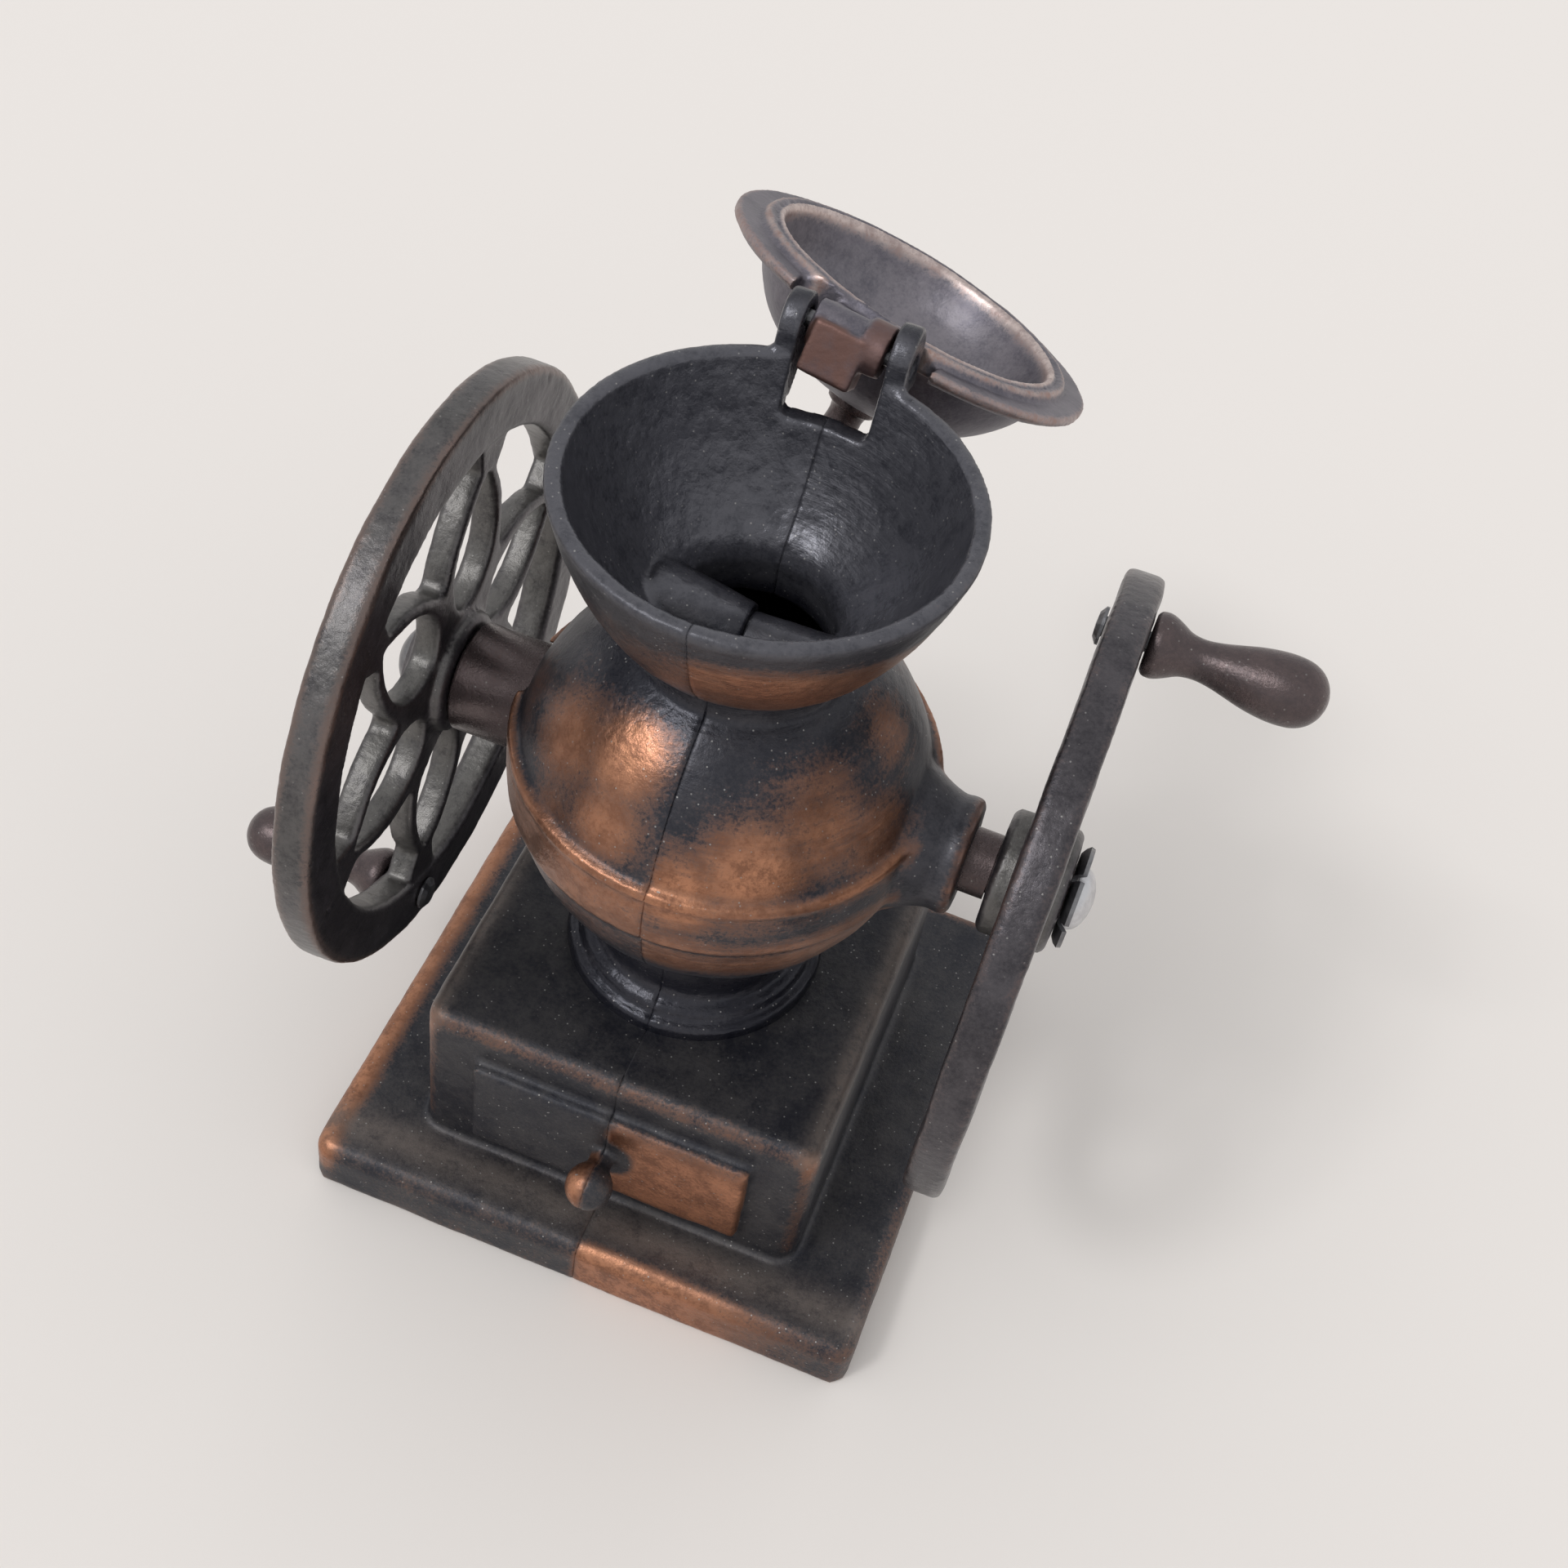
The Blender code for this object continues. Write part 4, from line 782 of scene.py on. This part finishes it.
def upper_castings():
    whole = revolve("upper", upper_outline())
    boss_line = [(0, 11.0), (6.6, 12.2), (5.5, 14.2), (4.8, 15.4), (BOSS_R + 0.15, 16.4), (BOSS_R, 17.2)]
    boss_line += [(BOSS_R + 0.12, 17.7), (BOSS_R + 0.05, BOSS_END - 0.3), (BOSS_R - 0.4, BOSS_END)]
    boss_line += [(0, BOSS_END)]
    boss = move(to_x(revolve("boss", boss_line, 64)), 0, 0, AXLE_Z)
    notch = block("notch", -EAR_IN, EAR_IN, HOPPER_R - 5.5, HINGE.y + 3.0, RIM_Z - 4.0, RIM_Z + 4.0)
    journal_hole = move(to_x(cylinder("journal_hole", JOURNAL_R + 0.15, -20.0, -10.0)), 0, 0, AXLE_Z)
    shaft_hole = move(to_x(cylinder("shaft_hole", SHAFT_R + 0.15, 8.0, BOSS_END + 1.0)), 0, 0, AXLE_Z)
    join(whole, boss, ear_plate(-1, HEEL["left"]), ear_plate(1, HEEL["right"]))
    cut(whole, notch, journal_hole, shaft_hole, on_hinge(cylinder("pin_hole", PIN_HOLE_R, -6.0, 6.0, 24)))
    for side, sign, finish in (("left", -1, UPPER_LEFT), ("right", 1, UPPER_RIGHT)):
        half = cut(copy_of(whole, side + "_hopper_and_globe"), half_space(sign))
        near, far = PEG_R[side]
        line = [(0, SEAM_HALF), (near, SEAM_HALF), (far, NECK_R - 0.5), (0, NECK_R - 0.5)]
        bar = revolve("bar", [(r, z * sign) for r, z in line], 48)
        join(half, move(to_x(bar), 0, 0, PEG_Z))
        cast(half, voxel=0.245, soften=2)
        paint(half, upper_rub, seam=True)
        coat(half, finish)
        place(half, "base", "antique_cast_" + side)
    bpy.data.objects.remove(whole, do_unlink=True)


# ---------------------------------------------------------------- base with its drawer front
# Inside the base, on each side of the seam: name, x from and to, y from and to, and bottom.
BASE_RIBS = [
    ("lug", SEAM_HALF, 3.2, -12.9, -9.1, 15.8),
    ("lug", SEAM_HALF, 3.2, 10.5, 14.3, 15.8),
    ("rib", 6.65, BOX_HALF_X - 0.8, -4.15, -2.95, 5.6),
    ("rib", 6.65, BOX_HALF_X - 0.8, 11.35, 12.55, 5.6),
    ("stop", 2.2, BOX_HALF_X - 0.8, -7.9, -6.7, 6.6),
    ("seat", 5.3, 7.5, -4.15, -2.95, 15.35),
]


def base_castings():
    plate = rounded_block(
        "plate", -PLATE_HALF_X, PLATE_HALF_X, PLATE_FRONT_Y, PLATE_BACK_Y, 0.0, PLATE_T, 1.6, 1.3
    )
    box = rounded_block(
        "box", -BOX_HALF_X, BOX_HALF_X, BOX_FRONT_Y, BOX_BACK_Y, PLATE_T - 1.0, BOX_TOP, 1.7, 1.3
    )
    drawer = block(
        "drawer", -DRAWER_HALF_X, DRAWER_HALF_X, DRAWER_Y, BOX_FRONT_Y + 0.8, DRAWER_LOW, DRAWER_HIGH
    )
    bevel_edges(drawer, lambda a, b: a.y < DRAWER_Y + 0.01 and b.y < DRAWER_Y + 0.01, 0.5, 3)
    line = [(0, 0.6), (1.0, 0.6), (0.95, -1.3)]
    for degrees in range(-50, 90, 10):
        a = math.radians(degrees)
        line.append((KNOB_R * math.cos(a), -KNOB_REACH - KNOB_R * math.sin(a)))
    line.append((0, -KNOB_REACH - KNOB_R))
    knob = move(to_y(revolve("knob", line, 48)), 0, DRAWER_Y, KNOB_Z)
    join(plate, box, drawer, knob)
    room = block(
        "room", BASE_WALL - BOX_HALF_X, BOX_HALF_X - BASE_WALL, BOX_FRONT_Y + BASE_WALL,
        BOX_BACK_Y - BASE_WALL, -1.0, BOX_TOP - BASE_WALL,
    )
    tray = block(
        "tray", BASE_WALL - PLATE_HALF_X, PLATE_HALF_X - BASE_WALL, PLATE_FRONT_Y + BASE_WALL,
        PLATE_BACK_Y - BASE_WALL, -1.0, PLATE_T - BASE_WALL,
    )
    pencil = move(to_y(cylinder("pencil", PENCIL_R, BOX_BACK_Y - 4.0, BOX_BACK_Y + 2.0)), 0, 0, PENCIL_Z)
    stem_bore = cylinder("stem_bore", STEM_R - GLOBE_WALL, BOX_TOP - 4.0, BOX_TOP + 1.0)
    cut(plate, room, tray, pencil, stem_bore)
    for side, sign in (("left", -1), ("right", 1)):
        piece = cut(copy_of(plate, side + "_base"), half_space(sign))
        ribs = []
        for name, x_in, x_out, y0, y1, z0 in BASE_RIBS:
            x0, x1 = sorted((x_in * sign, x_out * sign))
            ribs.append(block(name, x0, x1, y0, y1, z0, BOX_TOP - 0.8))
        join(piece, *ribs)
        cast(piece, voxel=0.27, soften=2)
        for vertex in piece.data.vertices:
            vertex.co.z = max(vertex.co.z, 0.0)
        paint(piece, base_rub, seam=True)
        coat(piece, BASE_FINISH)
        place(piece, "base", "antique_cast_" + side, "body_%s_half" % side)
    bpy.data.objects.remove(plate, do_unlink=True)


# ---------------------------------------------------------------- wheels
def petal_half(r):
    """Half width of a petal opening at a radius."""
    t = (r - PETAL_IN) / (PETAL_OUT - PETAL_IN)
    if t <= 0 or t >= 1:
        return 0.0
    return 3.2 * (t ** 0.6) * ((1 - t) ** 0.9) / 0.3645


def petal_opening(phase):
    side = []
    for k in range(25):
        t = 0.5 - 0.5 * math.cos(math.pi * k / 24)
        r = PETAL_IN + t * (PETAL_OUT - PETAL_IN)
        side.append((r, petal_half(r)))
    pts = side + [(r, -h) for r, h in reversed(side[1:-1])]
    c = math.cos(phase)
    s = math.sin(phase)
    return [(r * c - h * s, r * s + h * c) for r, h in pts]


def web_opening(phase):
    """Opening between two petals and the rim, its middle on the phase angle."""
    half = math.pi / PETALS
    side = []
    for k in range(21):
        r = RIM_IN - k / 20 * (RIM_IN - 9.6)
        bar = 1.35 + 0.9 * max(0.0, 1 - (RIM_IN - r) / 2.2)
        side.append((r, half - math.asin(min(0.95, (petal_half(r) + bar) / r))))
    while len(side) > 3 and side[-1][1] < 0.045:
        side.pop()
    side.append((side[-1][0] - 0.35, 0.0))
    pts = side + [(r, -a) for r, a in reversed(side[:-1])]
    first = side[0][1]
    pts += [(RIM_IN, -first + 2 * first * k / 12) for k in range(1, 12)]
    return [(r * math.cos(phase + a), r * math.sin(phase + a)) for r, a in pts]


def spoke_plate(thick):
    """The flat pattern of petals as one plate with softened edges."""
    soft = 0.3
    curve = bpy.data.curves.new("spokes", "CURVE")
    curve.dimensions = "2D"
    curve.fill_mode = "BOTH"
    curve.extrude = thick / 2 - soft
    curve.bevel_depth = soft
    curve.bevel_resolution = 1
    curve.offset = -soft
    edge_r = RIM_IN + 2.2
    turns = [2 * math.pi * k / 96 for k in range(96)]
    loops = [[(edge_r * math.cos(a), edge_r * math.sin(a)) for a in turns]]
    for k in range(PETALS):
        angle = PETAL_PHASE + 2 * math.pi * k / PETALS
        loops.append(list(reversed(petal_opening(angle))))
        loops.append(list(reversed(web_opening(angle + math.pi / PETALS))))
    for loop in loops:
        spline = curve.splines.new("POLY")
        spline.points.add(len(loop) - 1)
        for point, (u, v) in zip(spline.points, loop):
            point.co = (u, v, 0.0, 1.0)
        spline.use_cyclic_u = True
    holder = add_object("spokes_curve", curve)
    graph = bpy.context.evaluated_depsgraph_get()
    mesh = bpy.data.meshes.new_from_object(holder.evaluated_get(graph))
    bpy.data.objects.remove(holder, do_unlink=True)
    return clean(add_object("spokes", mesh), 1e-3)


# Casting pits in the rim's faces: radius, degrees and size.
PITS = [(20.8, 192, 0.55), (22.2, 52, 0.5), (16.9, 68, 0.4), (21.2, 305, 0.4)]


def wheel(side, inner_face, out_sign, hub_in, hub_out):
    middle = inner_face + out_sign * RIM_T / 2
    edge = 0.5
    half = RIM_T / 2
    line = [(RIM_IN, 0.4 - half), (RIM_IN + 0.4, -half), (WHEEL_R - edge, -half)]
    line += [(WHEEL_R - 0.15, 0.15 - half), (WHEEL_R, edge - half), (WHEEL_R, half - edge)]
    line += [(WHEEL_R - 0.15, half - 0.15), (WHEEL_R - edge, half)]
    line += [(RIM_IN + 0.4, half), (RIM_IN, half - 0.4)]
    rim = revolve(side + "_wheel", line, 192)
    h0, h1 = sorted((hub_in - middle, hub_out - middle))
    hub_line = [(0, h0), (HUB_R - 0.4, h0), (HUB_R, h0 + 0.4), (HUB_R, h1 - 0.4), (HUB_R - 0.4, h1), (0, h1)]
    join(rim, spoke_plate(SPOKE_T), revolve("hub", hub_line, 64))
    cut(rim, cylinder("bore", AXLE_END_R + GAP, h0 - 1.0, h1 + 1.0))
    for radius, degrees, size in PITS:
        a = math.radians(degrees)
        for face in (-1, 1):
            pit = revolve("pit", [(0, -size), (size, 0), (0, size)], 12)
            cut(rim, move(pit, radius * math.cos(a), radius * math.sin(a), face * (half + 0.15)))
    to_x(rim)
    move(rim, middle, 0, AXLE_Z)
    cast(rim, voxel=0.21, soften=3, lump=0.16, grain=0.06)
    paint(rim, wheel_rub)
    coat(rim, WHEEL_FINISH)
    return place(rim, "crank", "wheel_cast", side + "_flywheel")


# ---------------------------------------------------------------- axle, washer and grips
def turned(name, outline, body, slot, finish, seg, x=0.0, y=0.0, z=AXLE_Z, flip=False, nodes=()):
    """A turned piece along X with a slightly uneven skin."""
    obj = revolve(name, outline, seg)
    if flip:
        transform(obj, Matrix.Rotation(math.pi, 4, "Y"))
    move(to_x(obj), x, y, z)
    uneven = obj.modifiers.new("uneven", "DISPLACE")
    uneven.texture = LUMPS
    uneven.texture_coords = "LOCAL"
    uneven.strength = 0.07
    applied(obj)
    paint(obj, None, edge_gain=14.0)
    coat(obj, finish)
    place(obj, body, slot, *nodes)
    obj.data.set_sharp_from_angle(angle=math.radians(50))
    return obj


def axle(hub_left_in, hub_left_out, hub_right_in, hub_right_out):
    line = [(0, hub_left_out + 0.1), (AXLE_END_R, hub_left_out + 0.1), (AXLE_END_R, hub_left_in + GAP)]
    line += [(JOURNAL_R - 0.3, hub_left_in + GAP), (JOURNAL_R, hub_left_in + 0.4), (JOURNAL_R, -9.4)]
    line += [(3.0, -9.0), (3.0, 8.6), (SHAFT_R, 9.2), (SHAFT_R, hub_right_in - GAP)]
    line += [(AXLE_END_R, hub_right_in - GAP), (AXLE_END_R, hub_right_out + 0.3), (0, hub_right_out + 0.3)]
    turned("axle", line, "crank", "brown_cast", BROWN_FINISH, 64, nodes=("axle_shaft",))
    start = hub_left_out - GAP
    dome = [(0, start - 1.48), (0.6, start - 1.44), (1.1, start - 1.33), (1.6, start - 1.1)]
    dome += [(2.0, start - 0.83), (2.3, start - 0.5), (2.45, start - 0.2), (2.45, start), (0, start)]
    turned("left_axle_dome", dome, "crank", "dark_steel", DARK_STEEL, 48)
    start = hub_right_out + GAP + WASHER_T + GAP
    dome = [(0, start), (2.3, start), (2.3, start + 0.4), (2.15, start + 0.7), (1.85, start + 0.98)]
    dome += [(1.5, start + 1.18), (1.0, start + 1.36), (0.5, start + 1.46), (0, start + 1.5)]
    turned("right_axle_dome", dome, "crank", "bare_zinc", BRIGHT_ZINC, 48)


def push_washer(at):
    """Sprung washer with six slots, its rim cupped outward."""
    line = [(2.0, 0.0), (3.1, 0.0), (3.5, 0.25), (3.75, 0.55), (3.65, 0.85), (3.3, 0.6)]
    line += [(3.0, WASHER_T), (2.0, WASHER_T)]
    obj = revolve("push_washer", line, 96)
    for k in range(6):
        slot = block("slot", -0.25, 0.25, 2.5, 4.5, -1.0, 2.0)
        transform(slot, Matrix.Rotation(k * math.pi / 3 + 0.3, 4, "Z"))
        cut(obj, slot)
    move(to_x(obj), at, 0, AXLE_Z)
    paint(obj, None)
    coat(obj, DARK_STEEL)
    place(obj, "crank", "dark_steel", "axle_push_washer")
    obj.data.set_sharp_from_angle(angle=math.radians(40))


def grip(side, flip):
    """Turned grip: collar, waist, swelling and round end."""
    share = [(0.0, 0.80), (0.02, 0.92), (0.06, 0.95), (0.10, 0.90), (0.15, 0.78), (0.21, 0.63), (0.29, 0.58)]
    share += [(0.38, 0.64), (0.48, 0.77), (0.58, 0.90), (0.68, 0.98), (0.77, 1.0), (0.86, 0.94), (0.93, 0.76)]
    share += [(0.975, 0.48), (0.995, 0.2)]
    body = [(HANDLE_R * r, 0.15 + t * (HANDLE_L - 0.15)) for t, r in share]
    line = [(0, 0.15)] + flowing(body, 4) + [(0, HANDLE_L)]
    spin = Vector(JOINT[side + "_handle_spin"]["pos_m"]) / MM - CENTRE
    turned(
        side + "_grip", line, side + "_grip", "brown_cast", BROWN_FINISH, 64, *spin, flip=flip,
        nodes=(side + "_handle",),
    )


# ---------------------------------------------------------------- lid
def lid_outline():
    """Closed outline of the lid from the brim's outer edge, under the dome and back over it."""
    step = HOPPER_R - HOPPER_WALL - 0.35
    groove = LID_IN + 0.62
    d = LID_DOME_H
    crown = LID_CROWN
    under = [(LID_R - 0.15, 0.0), (step + 0.15, 0.0), (step + 0.1, -0.3), (step, -0.35), (step - 0.1, -0.65)]
    under += [(groove + 0.22, -0.65), (groove + 0.1, -0.35), (groove - 0.1, -0.35), (groove - 0.2, -0.72)]
    under += [(LID_IN + 0.2, -0.72)]
    cup = [(LID_IN, -0.45), (LID_IN * 0.965, d * 0.12), (LID_IN * 0.88, d * 0.40), (LID_IN * 0.72, d * 0.62)]
    under += flowing(cup + [(LID_IN * 0.50, d * 0.79), (LID_IN * 0.25, d * 0.90), (0.01, d * 0.935)], 4)[:-1]
    over = [(0, d * 0.935), (0, crown)]
    dome = [(1.6, crown - 0.02), (LID_IN * 0.32, crown * 0.965), (LID_IN * 0.58, crown * 0.855)]
    dome += [(LID_IN * 0.80, crown * 0.68), (LID_IN * 0.95, crown * 0.46), (LID_IN * 1.035, crown * 0.26)]
    over += flowing(dome + [(LID_IN * 1.07, 1.45)], 4)
    over += [(LID_IN * 1.11, 1.1), (LID_R - 0.5, 1.0), (LID_R, 0.6), (LID_R, 0.15)]
    return [(r, SEAT_Z + z) for r, z in under + over]


def lid():
    """Drawn shut, then swung open about the hinge."""
    shell = revolve("lid_casting", lid_outline())
    drift = EAR_OUT * (math.sin(HINGE_SKEW) + math.sin(HINGE_YAW))
    clear_y = HINGE.y - EAR_R - 0.3 - drift
    arm_y = LID_IN + 0.38
    room_x = EAR_OUT + 0.9
    cut(shell, block("room", -room_x, room_x, clear_y, LID_R + 2.0, SEAT_Z - 2.0, SEAT_Z + 4.0))
    knuckle = EAR_IN - 0.35
    arm = [(arm_y, SEAT_Z + 0.1), (HINGE.y, HINGE.z - 1.4), (HINGE.y, HINGE.z + 1.1), (arm_y, SEAT_Z + 1.1)]
    barrel = on_hinge(cylinder("barrel", BARREL_R, -knuckle, knuckle))
    tail_line = [(-1.15, 0.0), (0.9, -0.7), (2.05, -0.7), (2.05, 3.0), (-0.85, 3.2), (-1.15, 2.9)]
    tail = prism_x("tail", tail_line, -2.35, TAIL_OUT)
    bevel_edges(tail, lambda a, b: True, 0.22, 2)
    turns = [math.radians(a) for a in range(225, 411, 15)]
    wrap = [(STRAP_R * math.cos(a), STRAP_R * math.sin(a)) for a in turns]
    strap = prism_x("strap", [(-3.0, -1.45)] + wrap + [(0.0, 0.6), (-3.0, 0.2)], STRAP_IN, knuckle - 0.05)
    skew = Matrix.Rotation(-HINGE_YAW, 4, "Z") @ Matrix.Rotation(HINGE_SKEW, 4, "Y")
    transform(tail, Matrix.Translation(HINGE) @ skew @ Matrix.Rotation(math.radians(-4.0), 4, "X"))
    transform(strap, Matrix.Translation(HINGE) @ skew)
    join(shell, prism_x("arm", arm, 0.3 - knuckle, knuckle - 0.3), barrel, tail, strap)
    cut(shell, on_hinge(cylinder("pin_room", PIN_HOLE_R, -6.0, 6.0, 24)))
    swing = Matrix.Translation(HINGE) @ Matrix.Rotation(-LID_OPEN, 4, HINGE_AXIS) @ Matrix.Translation(-HINGE)
    transform(shell, swing)
    knob = [(0, -0.6), (2.05, -0.6), (2.1, 0.3), (2.0, 0.75), (1.5, 1.0), (1.36, 1.6), (1.42, 3.4), (1.5, 4.1)]
    knob += [(1.12, 4.5), (0, 4.6)]
    finial = revolve("lid_finial", [(r, SEAT_Z + (LID_CROWN + z)) for r, z in knob], 48)
    transform(finial, swing)
    cast(finial, voxel=0.14, soften=2, lump=0.08, grain=0.03)
    paint(finial, None)
    coat(finial, BROWN_FINISH)
    place(finial, "lid_body", "lid_cast")
    cast(shell, voxel=0.175, soften=1, lump=0.10, grain=0.03)
    paint(shell, lid_rub, edge_gain=10.0, edge_share=0.45)
    coat(shell, LID_FINISH)
    place(shell, "lid_body", "lid_cast", "lid")


upper_castings()
base_castings()
wheel("left", LEFT_FACE, -1, *HUB_LEFT)
wheel("right", RIGHT_FACE, 1, *HUB_RIGHT)
axle(*HUB_LEFT, *HUB_RIGHT)
push_washer(HUB_RIGHT[1] + GAP)
grip("left", True)
grip("right", False)
lid()
# CAD nodes that are kept as they are, with better materials.
KEPT = {
    "body_rivet_front": BRIGHT_ZINC,
    "body_rivet_rear": BRIGHT_ZINC,
    "left_handle_rivet": DARK_STEEL,
    "right_handle_rivet": DARK_STEEL,
    "lid_hinge_pin": DARK_STEEL,
    "sharpener_block": BRIGHT_ZINC,
    "sharpener_blade": BLADE_STEEL,
    "sharpener_screw": DARK_STEEL,
}
for node_name, finish in KEPT.items():
    coat(frame["nodes"][node_name], finish)


# ---------------------------------------------------------------- floor, light and camera
def floor():
    mesh = bpy.data.meshes.new("floor")
    reach = 6.0
    corners = [(-reach, -reach, 0), (reach, -reach, 0), (reach, reach, 0), (-reach, reach, 0)]
    mesh.from_pydata(corners, [], [(0, 1, 2, 3)])
    obj = add_object("floor", mesh)
    material = bpy.data.materials.new("pale_floor")
    material.use_nodes = True
    shader = material.node_tree.nodes["Principled BSDF"]
    shader.inputs["Base Color"].default_value = (0.80, 0.762, 0.733, 1.0)
    shader.inputs["Roughness"].default_value = 0.9
    shader.inputs["Specular IOR Level"].default_value = 0.0
    mesh.materials.append(material)


def sky(colour, strength):
    world = bpy.data.worlds.new("soft_room")
    bpy.context.scene.world = world
    world.use_nodes = True
    node = world.node_tree.nodes["Background"]
    node.inputs["Color"].default_value = (*colour, 1.0)
    node.inputs["Strength"].default_value = strength


def camera():
    """The camera fitted to the photo, in millimetres from the hopper axis."""
    data = bpy.data.cameras.new("camera")
    obj = add_object("camera", data)
    across = (0.930638, 0.342070, 0.130007)
    up = (-0.343513, 0.694147, 0.632581)
    back = (0.126143, -0.633363, 0.763505)
    turn = Matrix((across, up, back)).transposed().to_4x4()
    from_axis = Vector((23.043, -92.682, 153.575))
    obj.matrix_world = Matrix.Translation((from_axis + CENTRE) * MM) @ turn
    data.sensor_width = 36.0
    data.lens = 47.2535
    data.clip_start = 0.005
    bpy.context.scene.camera = obj


def sun(name, toward, width, strength):
    """A distant soft light, which leaves the floor evenly lit."""
    light = bpy.data.lights.new(name, "SUN")
    light.angle = math.radians(width)
    light.energy = strength
    obj = add_object(name, light)
    obj.rotation_euler = Vector(toward).to_track_quat("Z", "Y").to_euler()


floor()
sky((1.0, 1.0, 1.0), 0.80)
TOWARD_LIGHT = (-0.42, -0.50, 0.78)
sun("key", TOWARD_LIGHT, 34.0, 0.42)
sun("glint", TOWARD_LIGHT, 10.0, 0.56)
camera()
bpy.context.scene.view_settings.view_transform = "Standard"
